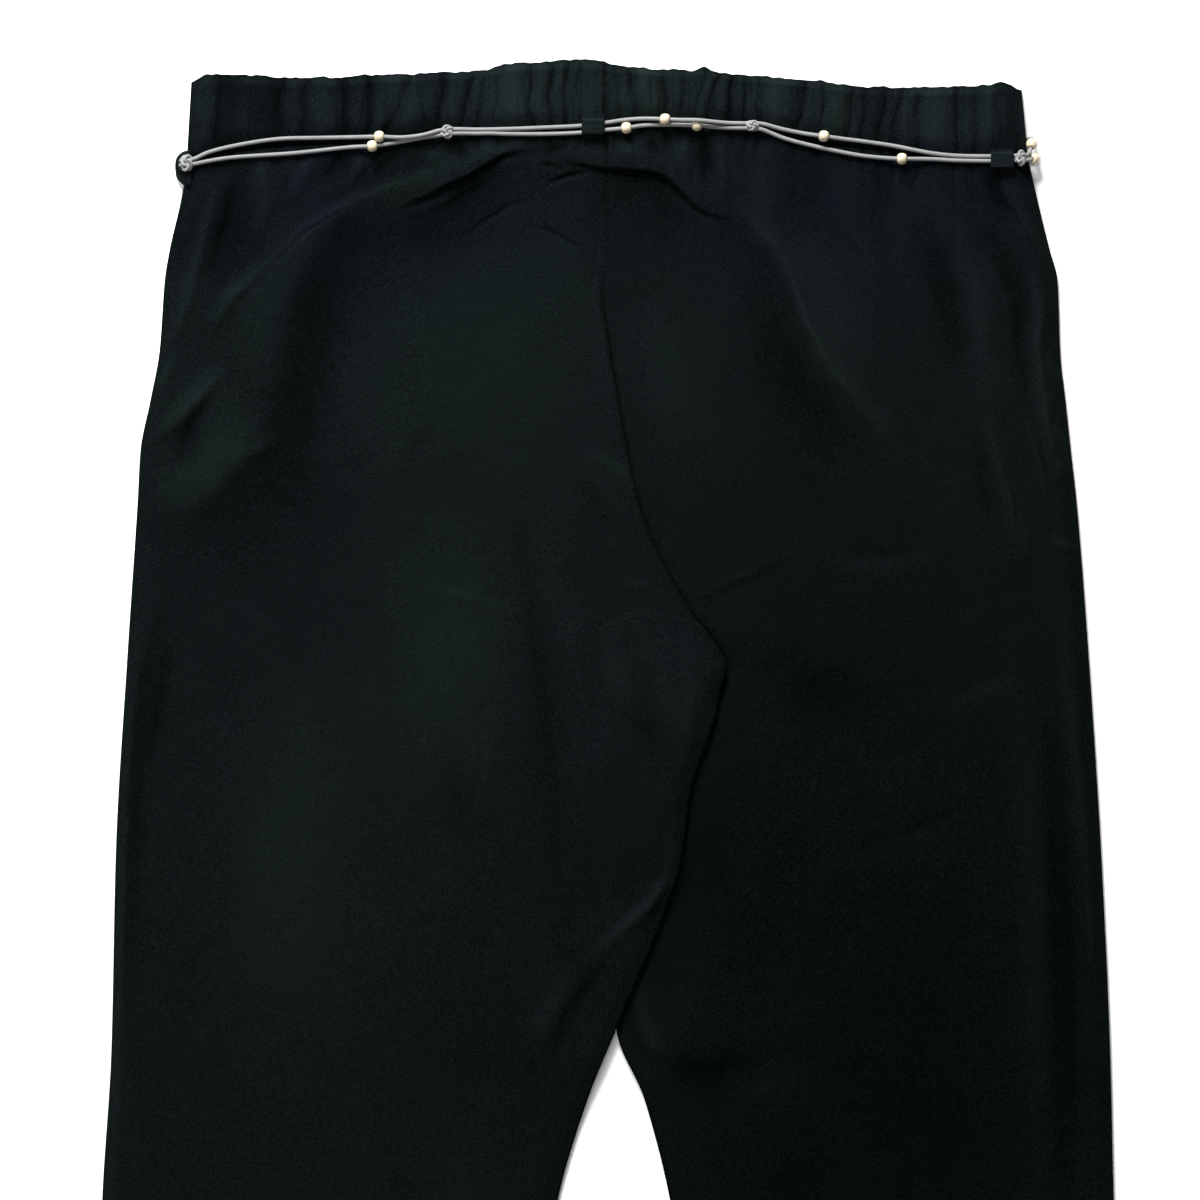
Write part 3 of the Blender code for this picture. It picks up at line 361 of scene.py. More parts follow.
for number, strand_name in sorted((n, on) for on, beads in BEADS_ON.items() for n in beads):
    low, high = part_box(f"bead_{number}")
    middle = (low + high) / 2
    line = strands[strand_name][1]
    nearest = min(range(2, len(line) - 2), key=lambda i: (line[i] - middle).length)
    along = (line[nearest + 1] - line[nearest - 1]).normalized()
    bead = bmesh.new()
    corners = [bead.verts.new((radius * MM, 0.0, height * MM)) for radius, height in BEAD_PROFILE]
    edges = [bead.edges.new(pair) for pair in zip(corners, corners[1:] + corners[:1])]
    bmesh.ops.spin(bead, geom=corners + edges, axis=(0, 0, 1), cent=(0, 0, 0), steps=24,
                   angle=2 * math.pi, use_merge=True)
    bmesh.ops.recalc_face_normals(bead, faces=bead.faces)
    aimed = along.to_track_quat("Z", "Y").to_matrix().to_4x4()
    turned = aimed @ Matrix.Rotation(number * 1.3, 4, "Z")
    bmesh.ops.transform(bead, matrix=Matrix.Translation(middle) @ turned, verts=bead.verts)
    bead_mesh = bpy.data.meshes.new(f"bead_{number}_turned")
    bead.to_mesh(bead_mesh)
    bead.free()
    bead_mesh.shade_smooth()
    piece = add_mesh(f"bead_{number}_turned", bead_mesh, wood)
    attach(piece, "root")
    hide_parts(f"bead_{number}")
    bead_pieces[strand_name].append(piece)

for strand_name, (strand, line, line_length) in strands.items():
    bead_pieces[strand_name] + (knot_pieces if strand_name == "upper" else [])

# The back of the legs and the seat
# Two panels of a smooth, closely woven black cloth of fine yarn, sewn together along the
# centre back. They lie on the fronts with a little air between, and keep the folds that
# the waist's gathers and the bent knees have pressed into them.

WALL = 1.2
GAP = 0.3
SEAM_HALF_GAP = 0.16
SEAM_OVERLAP = 0.35
CHANNEL = 2.8
BAND_AIR = 2.5
RIM = 9.0
SEAM_SINK = 1.4
OUTER_EDGES = (
    (8, -229, 228), (44, -230.5, 230), (66, -232.5, 234.5), (77, -234.5, 237), (105, -241, 244),
    (120, -243.5, 248), (160, -246.5, 249.5), (187, -251.5, 252.5), (215, -257, 255.5),
    (242, -258.5, 258.5), (325, -264, 265), (435, -270.5, 272), (545, -273, 277),
    (627, -278, 279), (800, -283, 284.5), (1020, -287.5, 291),
)
INNER_EDGES = (
    (30, 0, 0), (105, -0.5, -0.5), (128, -3, -3), (146, -0.5, -0.5), (187, 6, 6), (242, 17, 17),
    (261, 23.5, 23.5), (302, 45, 45), (321, 59.5, 59.5), (333, 65.5, 65.5), (350, 61.5, 61.5),
    (363, 59, 58), (400, 46.5, 35), (440, 40.5, 21), (484, 25.5, 12), (506, 16, 8),
    (531.5, 5.5, 5.5), (572, -11, 21), (627, -27.5, 35), (800, -59, 63), (1020, -88, 91),
)
WAIST_TOP = (
    (-229, 12), (-218, 7.5), (-169, 9.5), (-120, 7.8), (-67, 5), (-60, 2.6), (-10, -0.4), (6, 2.6),
    (46, 5.4), (54, 3.4), (59, 6), (102, 10), (158, 14.8), (211, 13.2), (216, 11.8), (228, 16.5),
)
BAND_SEAM = (
    (-230, 54), (-180, 47.5), (-130, 44), (-88, 40), (-50, 39), (-10, 37.5), (20, 34.5), (60, 35.5),
    (90, 39), (120, 45), (160, 51), (195, 54), (234, 54),
)
# Each gather of the band: where the furrow on its left meets the seam and the top, and its height
GATHERS = (
    (-236, -236, 1.2), (-214, -213, 1.9), (-181, -179, 1.5), (-168, -165, 1.4), (-145, -143, 1.2),
    (-132, -130, 1.6), (-124, -106, 2.0), (-93, -89, 1.4), (-80, -74, 0.9), (-71, -67, 1.3),
    (-61, -60, 1.8), (-41, -42, 1.1), (-31, -30, 0.9), (-23, -21, 0.8), (-14.9, -14.9, 0.8),
    (0.6, 0.4, 0.7), (6, 5, 0.9), (15, 12, 1.6), (33, 31, 1.0), (41, 42, 0.9), (48, 54, 1.1),
    (55, 61, 1.3), (68, 69, 1.0), (76, 77, 0.9), (83, 84, 1.9), (103, 112, 1.2), (117, 120, 1.4),
    (133, 135, 0.8), (141, 142, 1.0), (150, 154, 0.8), (157, 162, 1.3), (171, 172, 1.8),
    (192, 194, 1.0), (202, 204, 1.3), (216, 216, 1.4), (238, 238, 0.0),
)
# Each fold: its line, the width of its upper or right side and of its other side, its height
FOLDS = (
    # The two creases that hang from the band on both sides of the centre
    (((-118, 82), (-111, 78.7), (-96.8, 72.6), (-84.2, 66.6), (-70.4, 59.4),
      (-54.5, 50.5), (-44, 48), (-34, 50)), 16, 1.6, 3.4),
    (((-30, 51), (-20.9, 54.5), (-5.5, 58.4), (12.7, 59.6), (23.7, 61.1),
      (33.6, 64.5), (42, 73), (51.7, 81), (60, 85), (72, 88)), 15, 1.6, 3.5),
    (((-116, 84.5), (-96, 75.5), (-84, 69.6), (-68, 61), (-54, 53.4), (-40, 51.2)), 1.1, 2.4, -1),
    (((-24, 55.6), (-5.5, 60.6), (12.7, 61.8), (23.7, 63.3), (33, 66.7), (41, 75),
      (51, 83.2), (64, 88)), 1.1, 2.4, -1.1),
    (((-112, 92), (-92, 84), (-70, 70), (-52, 60)), 5, 20, -1.6),
    (((-14, 70), (14, 70), (30, 76), (44, 90), (62, 98)), 7, 20, -0.9),
    (((-38, 58.6), (-30, 58.6), (-24, 60.4)), 1.6, 1.8, -1.1),
    (((-35, 69.5), (-28, 66), (-20.9, 63.3), (-9, 62.2)), 1.8, 2.6, -1.5),
    (((-82, 100), (-72, 91.5), (-62, 85), (-52, 79.6), (-40, 76)), 1.3, 2.8, -0.8),
    (((-48, 90), (-36, 92.5), (-24, 98), (-14, 104.5), (-8, 112)), 1.3, 2.4, -0.75),
    (((-100, 46), (-96, 53), (-93, 60)), 4, 4, 1.3),
    (((-84, 44), (-80, 51), (-78, 57)), 3, 4, -1.2),
    (((-69, 43), (-66, 48), (-66, 54)), 3, 4, 1.2),
    (((-48, 41), (-50, 47)), 3, 3, 1),
    (((-24, 42), (-27, 48), (-33, 54)), 3, 3, -1.2),
    (((12, 39), (12, 48), (15, 57)), 4, 4, 1.3),
    (((24, 39), (26, 48), (30, 56)), 3, 4, -1.4),
    (((38, 39), (42, 50), (46, 64)), 4, 4, 1.7),
    (((52, 40), (54, 52), (57, 72)), 4, 4, -1.8),
    (((60, 40), (64, 56), (66, 78)), 4, 4, 1.7),
    # The long folds of the left hip
    (((-132, 66), (-163, 103), (-177, 135.3), (-184, 166.7), (-192, 197)), 12, 24, 2.8),
    (((-186, 186), (-196, 206), (-208, 224), (-224, 240), (-253, 252)), 13, 22, 3.4),
    (((-126, 74), (-146, 108), (-158, 140), (-162, 168), (-170, 200),
      (-188, 232), (-212, 256), (-258, 276)), 26, 19, -2.1),
    (((-120, 90), (-134, 120), (-142, 160), (-148, 200), (-160, 240)), 34, 16, 1.6),
    (((-56, 47), (-92, 61), (-125, 72.5), (-152, 85), (-174, 102),
      (-190, 119), (-204, 140)), 10, 3.6, 1.1),
    (((-140, 80), (-152, 86.5), (-166, 96), (-178, 107), (-192, 124)), 1.2, 2.2, -0.8),
    (((-186, 110), (-196.4, 121), (-204.1, 128.2), (-211.8, 140.8), (-219, 152)), 4, 5, 1.9),
    (((-211.8, 57.8), (-213.4, 69.3), (-217.8, 84.2), (-225.5, 114.4),
      (-233.2, 141.9), (-245, 169)), 4, 5, 2),
    (((-204, 60), (-206, 78), (-212, 100), (-220, 124)), 5, 4, -1.5),
    (((-207, 169), (-216, 178), (-225, 187.6), (-238.7, 201.9), (-253, 211)), 4, 8, 2.4),
    (((-214, 186), (-223, 194), (-229.9, 205.2), (-236, 230)), 5, 4, -1.6),
    (((-176, 205), (-190, 214), (-206, 222)), 4, 5, 1),
    (((-236, 160), (-246, 178), (-254, 190)), 4, 4, 1.3),
    (((-186, 44), (-190, 62), (-188, 82), (-196, 104)), 5, 5, 1.8),
    (((-160, 42), (-166, 60), (-172, 80)), 5, 6, 1.5),
    (((-142, 40), (-148, 56), (-158, 72)), 4, 4, -1.2),
    (((-126, 42), (-134, 56), (-146, 76)), 4, 5, 1.3),
    (((-110, 44), (-120, 56), (-130, 66)), 4, 4, -1.2),
    # The left leg
    (((-240, 310), (-247.5, 366.9), (-255, 400)), 4, 4, -1.4),
    (((-259, 300), (-264.6, 408.7), (-266.8, 471.9), (-270.6, 556.1), (-276, 690)), 3, 4, 1.8),
    (((-236, 280), (-244, 306), (-252, 335), (-257, 368), (-260, 410),
      (-262, 460), (-266, 560)), 5, 4, -1.9),
    (((-52, 228), (-45, 276), (-37, 330), (-31.5, 380), (-27.5, 430), (-25, 478)), 2.6, 4.5, -0.9),
    (((-106, 286), (-78, 296), (-44, 307)), 3, 4, 0.5),
    (((-68, 384), (-71, 400), (-76, 418)), 2.4, 3, -0.7),
    (((-38, 232), (-26, 290), (-18, 340), (-14, 410)), 10, 8, 0.8),
    (((-14, 214), (4, 226), (20, 242)), 4, 6, 0.8),
    (((-16, 230), (-4, 250), (4, 266)), 5, 5, -0.6),
    (((0, 310), (7.2, 341.5), (11, 364)), 5, 7, 0.9),
    (((12, 350), (24, 372), (36, 400)), 5, 7, -1),
    (((29, 328), (36.3, 354.2), (41, 378)), 4, 5, 1),
    (((46, 326), (47, 352), (41, 392)), 4, 6, 1),
    (((8, 283), (15.4, 291), (22, 285)), 2.2, 2.2, 0.5),
    (((40, 412), (38, 435.1), (36.3, 447.2), (25.9, 462.6), (9.9, 477.4), (-10, 496)), 5, 4, 2.5),
    (((46, 420), (44, 440), (40, 456), (26, 474)), 3, 3, -1.3),
    (((6, 492), (-11.6, 513.7), (-19.8, 526.4), (-32, 558)), 4, 5, -1.5),
    (((-16, 500), (-26, 516), (-40, 548)), 6, 8, 1.2),
    (((-92, 360), (-82, 402), (-74, 444)), 7, 7, -0.5),
    (((-60, 366), (-74, 420)), 6, 6, 0.5),
    (((-96, 200), (-104, 214), (-108, 228)), 4, 5, -0.5),
    (((-150, 330), (-176, 440), (-170, 560)), 30, 26, 1.2),
    (((-140, 620), (-160, 760), (-176, 900)), 24, 28, 1),
    (((-90, 240), (-84, 330), (-88, 420)), 34, 34, 1.4),
    (((-60, 560), (-90, 700), (-120, 860)), 18, 22, 1),
    # The long folds of the right hip
    (((60, 84), (84, 112), (97, 138), (104, 171), (124, 205), (150, 236)), 10, 18, -3.2),
    (((70.4, 78), (95.7, 108), (110, 143.6), (126, 173.2), (143, 194.2),
      (156, 211.2), (166, 236)), 6, 8, 3.4),
    (((72, 80), (96.7, 108), (111, 143.6), (127, 173.2), (144, 194.2), (160, 216)), 2.4, 5, 1.1),
    (((96, 92), (120, 124), (134, 160), (150, 190)), 13, 13, 1.2),
    (((183.7, 70), (194.2, 101.8), (204.6, 131.5), (209.6, 166.7), (219, 202)), 10, 9, 2.6),
    (((172, 84), (184, 116), (192, 150), (196, 182)), 9, 9, -1.5),
    (((209, 190), (214, 212), (219, 231), (223.9, 252), (232, 280)), 2.6, 4, 2),
    (((204, 200), (209, 232), (216, 266)), 5, 6, -0.8),
    (((235, 146), (241, 178), (244, 205), (251, 236)), 2.2, 3, 1.4),
    (((229, 192), (237, 214), (242, 236), (249, 248)), 2, 3, 1.4),
    (((226, 250), (231, 262), (233, 278)), 2, 2.6, 1.1),
    (((104, 271), (124, 277), (145, 281), (162.8, 279.5), (200, 266)), 6, 9, 0.55),
    (((130, 268), (150, 273), (172, 270)), 5, 5, -0.6),
    (((42, 298), (60, 291), (78.1, 282.7), (86.9, 277.8), (108, 270)), 1.6, 2.2, 0.45),
    (((44, 301), (62, 294), (80, 286), (104, 275)), 1.8, 3.2, -0.35),
    (((204.6, 50), (211, 66), (216.7, 77), (230, 95)), 4, 4, -2),
    (((214, 62), (228.8, 88), (250, 122)), 4, 4, 2),
    (((216, 80), (225.5, 103.4), (234.3, 119.4), (238.7, 137), (237.1, 163.4),
      (242, 198.6), (252, 238)), 4, 4, 2.2),
    (((208, 92), (218, 112), (226, 130), (229, 160), (232, 196)), 5, 5, -1.4),
    (((241, 160), (247, 172), (253, 180)), 2.8, 2.8, 1.8),
    (((246, 200), (251, 210), (257, 216)), 2.8, 2.8, 1.7),
    (((248, 220), (255, 230)), 2.8, 2.8, 1.5),
    (((243, 262), (252, 268), (260, 270)), 2.8, 2.8, 1.3),
    # The right leg
    (((84, 448), (140, 433), (162.8, 425.7), (236, 396)), 2.2, 4, -0.4),
    (((100, 450), (146, 440), (210, 418)), 8, 9, 0.3),
    (((180, 363), (205, 351), (232, 339)), 5, 6, 0.8),
    (((236, 330), (247, 387.8), (251.4, 451), (253.6, 514.2), (256, 660)), 6, 8, -2.2),
    (((250, 296), (257.4, 366.9), (264, 430.1), (270, 520)), 4, 4, 1.3),
    (((222, 300), (232, 380), (238, 480), (240, 640)), 9, 8, 0.8),
    (((13, 500), (18.7, 521.4), (24.8, 540.1), (40, 551)), 3, 4, 2.2),
    (((10, 496), (14, 520), (20, 542), (34, 556)), 3, 4, -1.2),
    (((28, 546), (50, 558), (84, 552)), 7, 14, -0.9),
    (((60, 570), (90, 568), (120, 556)), 12, 12, 0.9),
    (((130, 560), (152, 700), (166, 850)), 26, 26, 1),
    (((82, 330), (120, 352), (156, 362)), 16, 18, -1.2),
    (((24, 130), (34, 180), (50, 230)), 16, 14, 1.2),
    (((96, 600), (116, 720), (136, 880)), 18, 20, -0.8),
)


def ease(t):
    """0 below 0, 1 above 1 and a soft step between."""
    t = np.clip(t, 0.0, 1.0)
    return t * t * (3.0 - 2.0 * t)


def through(rows, column=1):
    """A table's column as a smooth function of its first one, with no swing past a row."""
    keys = np.array([row[0] for row in rows], float)
    values = np.array([row[column] for row in rows], float)
    steps = np.diff(values) / np.diff(keys)
    before, after = steps[:-1], steps[1:]
    same = before * after > 0
    both = np.where(same, before + after, 1.0)
    inner = np.where(same, 2 * before * after / both, 0.0)
    slopes = np.concatenate(([steps[0]], inner, [steps[-1]]))

    def at_place(place):
        i = np.clip(np.searchsorted(keys, place) - 1, 0, len(keys) - 2)
        width = keys[i + 1] - keys[i]
        t = np.clip((place - keys[i]) / width, 0.0, 1.0)
        ends = (1 + 2 * t) * (1 - t) ** 2 * values[i] + t * t * (3 - 2 * t) * values[i + 1]
        return ends + width * (t * (1 - t) ** 2 * slopes[i] - t * t * (1 - t) * slopes[i + 1])

    return at_place


left_edge, right_edge = through(OUTER_EDGES, 1), through(OUTER_EDGES, 2)
left_leg_inner, right_leg_inner = through(INNER_EDGES, 1), through(INNER_EDGES, 2)
waist_top, band_seam = through(WAIST_TOP), through(BAND_SEAM)


# Painted light and shade on the cloth at large: a place, its half width and half length, lighter or
# darker
PAINTED_PATCHES = (
    (-70, 165, 62, 75, 0.38), (-208, 100, 30, 40, -0.42), (-175, 250, 60, 60, -0.12),
    (-120, 330, 80, 90, 0.16), (-170, 470, 70, 120, 0.14), (-60, 540, 40, 70, -0.22),
    (-30, 380, 26, 110, -0.24), (26, 380, 12, 40, 0.22), (-110, 60, 60, 16, -0.25),
    (-4, 58, 30, 16, -0.20), (60, 150, 46, 70, 0.20), (150, 110, 60, 50, 0.16),
    (200, 200, 30, 70, 0.10), (110, 230, 26, 50, -0.12), (150, 330, 90, 60, -0.12),
    (150, 480, 95, 150, -0.42), (60, 440, 46, 70, -0.42), (110, 620, 90, 80, -0.42),
    (190, 560, 60, 120, -0.30), (60, 555, 24, 12, -0.45), (160, 800, 120, 120, -0.40),
    (-262, 430, 12, 200, 0.10), (266, 420, 10, 150, -0.1), (-84, 58, 34, 12, -0.35),
    (22, 56, 34, 10, -0.2), (-112, 95, 44, 13, -0.4), (30, 96, 40, 18, -0.15),
    (-150, 130, 46, 50, -0.62), (200, 110, 40, 50, -0.15), (84, 70, 9, 24, 0.5),
    (132, 74, 7, 22, 0.45), (168, 84, 12, 20, 0.4), (108, 66, 7, 20, -0.3), (150, 64, 7, 22, -0.35),
)


def painted_patches(x, down):
    total = np.zeros_like(x)
    for at_x, at_down, half_width, half_length, painted_light_and_shade in PAINTED_PATCHES:
        beside, beyond = (x - at_x) / half_width, (down - at_down) / half_length
        total += painted_light_and_shade * np.exp(-(beside**2) - beyond**2)
    return total


def folds_height(x, down):
    """The sum of the folds at each place, every one a soft form that fades to its ends, and
    the light and shade painted on them: crests painted lighter as a sheen, hollows painted darker
    as shade."""
    total, painted_light_and_shade = np.zeros_like(x), np.zeros_like(x)
    x, down = x + 0.9 * ripples(x, down, 13.0, 3.0), down + 0.9 * ripples(x, down, 13.0, 5.0)
    for line, right_width, left_width, height in FOLDS:
        points = np.array([tuple(p)[:2] for p in smooth_path([(a, b, 0) for a, b in line], 4.0)])
        reach = 2.2 * max(right_width, left_width)
        low, high = points.min(axis=0) - reach, points.max(axis=0) + reach
        near = np.nonzero((x > low[0]) & (x < high[0]) & (down > low[1]) & (down < high[1]))[0]
        if not len(near):
            continue
        best = np.full(len(near), 1e9)
        along, side = np.zeros(len(near)), np.zeros(len(near))
        for i, (start, end) in enumerate(zip(points, points[1:])):
            run_x, run_down = end - start
            off_x, off_down = x[near] - start[0], down[near] - start[1]
            t = np.clip((off_x * run_x + off_down * run_down) / (run_x**2 + run_down**2), 0, 1)
            off_x, off_down = off_x - t * run_x, off_down - t * run_down
            distance = np.hypot(off_x, off_down)
            closer = distance < best
            best = np.where(closer, distance, best)
            along = np.where(closer, (i + t) / (len(points) - 1), along)
            side = np.where(closer, off_x * run_down - off_down * run_x, side)
        width = np.where(side > 0, right_width, left_width)
        taper = np.sin(np.pi * np.clip(along, 0, 1)) ** 1.2
        total[near] += height * taper * bump(1.25 * best, width)
        # Painted light and shade: each fold's crest is lighter and its hollow darker.
        strength = min(1.0, min(right_width, left_width) / 3.0) * np.clip(height / 2.5, -0.75, 0.75)
        painted_light_and_shade[near] += strength * taper * bump(best, width + 1.0)
    return total, painted_light_and_shade


def gather_form(x, down, up_share, sharpness=0.55):
    """The cloth between two furrows: its form from 0 to 1, and how high this gather stands."""
    x = x + 0.8 * np.sin(down / 6.1 + x / 19.0) + 0.5 * np.sin(down / 3.3 + x / 7.0)
    form, height = np.zeros_like(x), np.zeros_like(x)
    for (seam_a, top_a, lobe), (seam_b, top_b, _) in zip(GATHERS, GATHERS[1:]):
        start = seam_a + (top_a - seam_a) * up_share
        end = seam_b + (top_b - seam_b) * up_share
        across = (x - start) / (end - start)
        inside = (across >= 0) & (across <= 1)
        form = np.where(inside, np.clip(4 * across * (1 - across), 0, 1) ** sharpness, form)
        height = np.where(inside, lobe, height)
    return form, height


def channel_reach(x):
    """How far the channel over the cord under the front reaches: further at the sides."""
    return 4.6 + 9.5 * ease((np.abs(x) - 198) / 20)


def channel(x, down):
    """1 where the layers are lifted over the cord that runs under the front."""
    return 1 - ease((np.abs(down - band_seam(x)) - channel_reach(x)) / 8)


def knot_room(x):
    """How much further the layers are lifted over the knot under the front."""
    return 2.5 * (1 - ease((np.abs(x) - 7) / 8))


def rim_fall(x, down):
    """1 inside the garment and 0 at its sides, where the cloth falls to its edge."""
    return ease((x - left_edge(down)) / RIM) * ease((right_edge(down) - x) / RIM)


def leg_share(down):
    """0 above the fork and 1 where the legs part."""
    return ease((down - 323) / 26)


def layer_base(x, down, side, settling=8.0):
    """How far the layers are lifted, over the cord and where the left leg lies on the right."""
    below = down - band_seam(x) - channel_reach(x)
    lift = CHANNEL * (1 - ease(below / settling))
    if side == "right":
        return lift
    along = ease((down - 296) / 46) * ease((592 - down) / 46)
    return lift + 3.0 * along * ease((x - right_leg_inner(down) + 78) / 40)


def bump(distance, width):
    """A soft hump, 1 in its middle."""
    return np.exp(-((distance / width) ** 2))


def ripples(x, down, length, seed):
    """A fine unevenness of the cloth, from a few waves that cross each other."""
    total = np.zeros_like(x)
    for i in range(5):
        angle = seed + 2.4 * i
        stretch = length * (1.0 + 0.37 * i)
        place = (x * math.cos(angle) + down * math.sin(angle)) / stretch
        bend = np.sin((x * math.sin(angle) - down * math.cos(angle)) / (2.3 * stretch) + i)
        total += np.sin(2 * math.pi * place + 1.7 * bend + 1.9 * i) / 5
    return total


def back_height(x, down, side):
    """The top face of a back panel, in millimetres above the floor."""
    below = down - band_seam(x)
    resting = 1.9 - 0.7 * ease((down - 250) / 300)
    spread = np.where((x > 15) & (x < 200), 38.0, 20.0)
    form, stands = gather_form(x, down, 0.0)
    stands = stands * np.clip(0.65 + 0.9 * ripples(x, 0.2 * down, 37.0, 0.1), 0.0, 1.4)
    spread = spread * np.clip(0.9 + ripples(x, 0 * x, 23.0, 0.0), 0.3, 1.8)
    fading = np.exp(-np.clip(below, 0, None) / spread)
    hanging = (0.9 * stands * form - 0.3 * (1 - form)) * fading
    folds, painted_light_and_shade = folds_height(x, down)
    # Painted light and shade: fold crests, gather lobes and large patches lighter or darker, and a
    # painted shadow just below the band's seam, under the cord; the ripples add a random mottle.
    mottle_and_painted_light = painted_light_and_shade + painted_patches(x, down) + 0.3 * (form - 0.6) * fading
    mottle_and_painted_light = mottle_and_painted_light - 0.38 * bump(below, 9.0) + 0.25 * ripples(x, 0.35 * down, 12.0, 0.3) * fading
    mottle_and_painted_light = mottle_and_painted_light + 0.08 * ripples(x, down, 24.0, 1.1) + 0.05 * ripples(x, down, 9.0, 2.7)
    uneven = 0.22 * ripples(x, down, 46.0, 0.7) + 0.09 * ripples(x, down, 17.0, 2.1)
    uneven = uneven + 0.03 * ripples(x, down, 7.0, 4.0)
    inside = np.maximum(0.3, resting + folds + hanging + uneven)
    at_band = BAND_AIR - 1.3 * (1 - form)
    air = at_band + (inside - at_band) * ease((below - 4) / 12)
    leg = leg_share(down)
    inner = left_leg_inner(down) - x if side == "left" else x - right_leg_inner(down)
    air = air * rim_fall(x, down) * (1 - leg * (1 - ease(inner / RIM)))
    seam = ease((down - 110) / 90) * (1 - leg)
    if side == "left":
        air = air + 1.3 * seam * bump(inner, 5.0)
        pressed_open = ease((down - 66) / 20) * (1 - ease((down - 118) / 20))
        air = air - 0.9 * pressed_open * bump(inner - 3.5, 4.0)
    else:
        pressed = ease((down - 312) / 30) * ease((578 - down) / 34)
        air = air * (1 - pressed * (1 - ease((x - left_leg_inner(down) - 18) / 26)))
        air = air - 0.8 * seam * bump(inner, 5.0)
    air = air - 0.45 * bump(inner, 1.3) * (1 - leg)
    air = air - 0.7 * bump(below, SEAM_SINK)
    # A painted shade along the centre seam and the legs' inner edges.
    mottle_and_painted_light = mottle_and_painted_light - 0.5 * bump(inner, 1.6) * (0.6 + 0.4 * ease((down - 90) / 60))
    return layer_base(x, down, side, 60.0) + WALL + GAP + air + WALL, mottle_and_painted_light


CLOTH_DARK, CLOTH_LIGHT = (0.0007, 0.00115, 0.00125), (0.0054, 0.0080, 0.0080)
CLOTH_COOL = (0.0046, 0.0060, 0.0101, 1.0)
YARN = 0.00042


def cloth_finish(name, painted_light_factor=1.0):
    """Near-black cloth of fine yarn. The factor makes a whole piece's copy darker or lighter, a
    painted shade or painted light, and the attribute read from the mesh adds painted light and
    shade and a random mottle.
    """
    made, shader, at = finish_of(
        name, Specular_IOR_Level=0.011, Specular_Tint=(0.6, 0.95, 1.0, 1.0))
    cut = at.node("ShaderNodeUVMap")
    turn = 2 * math.pi / YARN
    warp = at.maths("SINE", at.node("ShaderNodeSeparateXYZ", i0=cut) * turn)
    weft = at.maths("SINE", at.node("ShaderNodeSeparateXYZ", out=1, i0=cut) * turn)
    weave = warp * weft
    where = at.node("ShaderNodeTexCoord", out=3)
    slubs = at.node("ShaderNodeTexNoise", Scale=1.0, Detail=3.0, Roughness=0.7, Vector=at.node(
        "ShaderNodeMapping", Vector=where, Scale=(1250.0, 950.0, 1100.0)))
    shade = at.node("ShaderNodeTexNoise", Scale=7.0, Detail=2.0, Roughness=0.5, Vector=where)
    crumple = at.node("ShaderNodeTexNoise", Scale=60.0, Detail=5.0, Roughness=0.6, Distortion=0.5,
                      Vector=where)
    mottle_and_painted_light = at.node("ShaderNodeAttribute", {"attribute_name": "mottle_and_painted_light"}, out=2)
    mixed = mottle_and_painted_light * 0.45 + shade * 0.12 + 0.31 + (slubs - 0.5) * 2.5 + weave * 0.04
    cool = at.node("ShaderNodeAttribute", {"attribute_name": "cool"}, out=2)
    lit = at.node(
        "ShaderNodeMix", {"data_type": "RGBA"}, out=2, Factor=cool,
        i6=(*(c * painted_light_factor for c in CLOTH_LIGHT), 1.0), i7=CLOTH_COOL,
    )
    feed(shader, "Base Color", at.node(
        "ShaderNodeMix", {"data_type": "RGBA"}, out=2,
        Factor=at.maths("MINIMUM", at.maths("MAXIMUM", mixed, 0.0), 1.0),
        i6=(*(c * painted_light_factor for c in CLOTH_DARK), 1.0), i7=lit,
    ))
    feed(shader, "Roughness", shade * 0.14 + 0.5)
    small = at.node("ShaderNodeBump", Strength=0.3, Distance=0.00015, Height=weave + slubs * 2.0)
    feed(shader, "Normal", at.node(
        "ShaderNodeBump", Strength=0.5, Distance=0.0004, Height=crumple, Normal=small))
    return made


cloth_left = cloth_finish("black_cloth_of_the_left_leg", 1.0)
# The right leg's copy is painted darker, a painted shade over the whole leg.
cloth_right = cloth_finish("black_cloth_of_the_right_leg", 0.85)


def cloth_sheet(name, columns, rows, place, cloth, turned=WALL + GAP):
    """A sheet of cloth laid by place(across, along), with its own UV map. Its outermost ring of
    faces is turned down, which gives the cut edge its thickness."""
    sheet = bmesh.new()
    bmesh.ops.create_grid(sheet, x_segments=columns, y_segments=rows, size=1.0)
    mesh = bpy.data.meshes.new(name)
    sheet.to_mesh(mesh)
    sheet.free()
    flat = np.empty(len(mesh.vertices) * 3)
    mesh.vertices.foreach_get("co", flat)
    across, along = (flat[0::3] + 1) / 2, (1 - flat[1::3]) / 2
    inward = np.minimum(
        np.minimum(across, 1 - across) * columns, np.minimum(along, 1 - along) * rows)
    across = np.clip((across * columns - 1) / (columns - 2), 0, 1)
    along = np.clip((along * rows - 1) / (rows - 2), 0, 1)
    x, down, height, mottle_and_painted_light = place(across, along)
    height = height - turned * (inward < 0.5)
    laid_out = laid_rows(x, down, height)
    mesh.vertices.foreach_set("co", laid_out.ravel())
    corners = np.empty(len(mesh.loops), int)
    mesh.loops.foreach_get("vertex_index", corners)
    cool = bump(np.abs(x) - 145, 80) * bump(down - 76, 40)
    cool = cool * np.clip(0.75 + 1.1 * ripples(x, down, 60.0, 1.0), 0, 1)
    mesh.attributes.new("mottle_and_painted_light", "FLOAT", "POINT").data.foreach_set("value", mottle_and_painted_light)
    mesh.attributes.new("cool", "FLOAT", "POINT").data.foreach_set("value", cool)
    layer = mesh.uv_layers.new(name="cut")
    layer.uv.foreach_set("vector", (laid_out[corners][:, :2]).ravel())
    mesh.update()
    mesh.shade_smooth()
    obj = add_mesh(name, mesh, cloth)
    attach(obj, "root")
    return obj


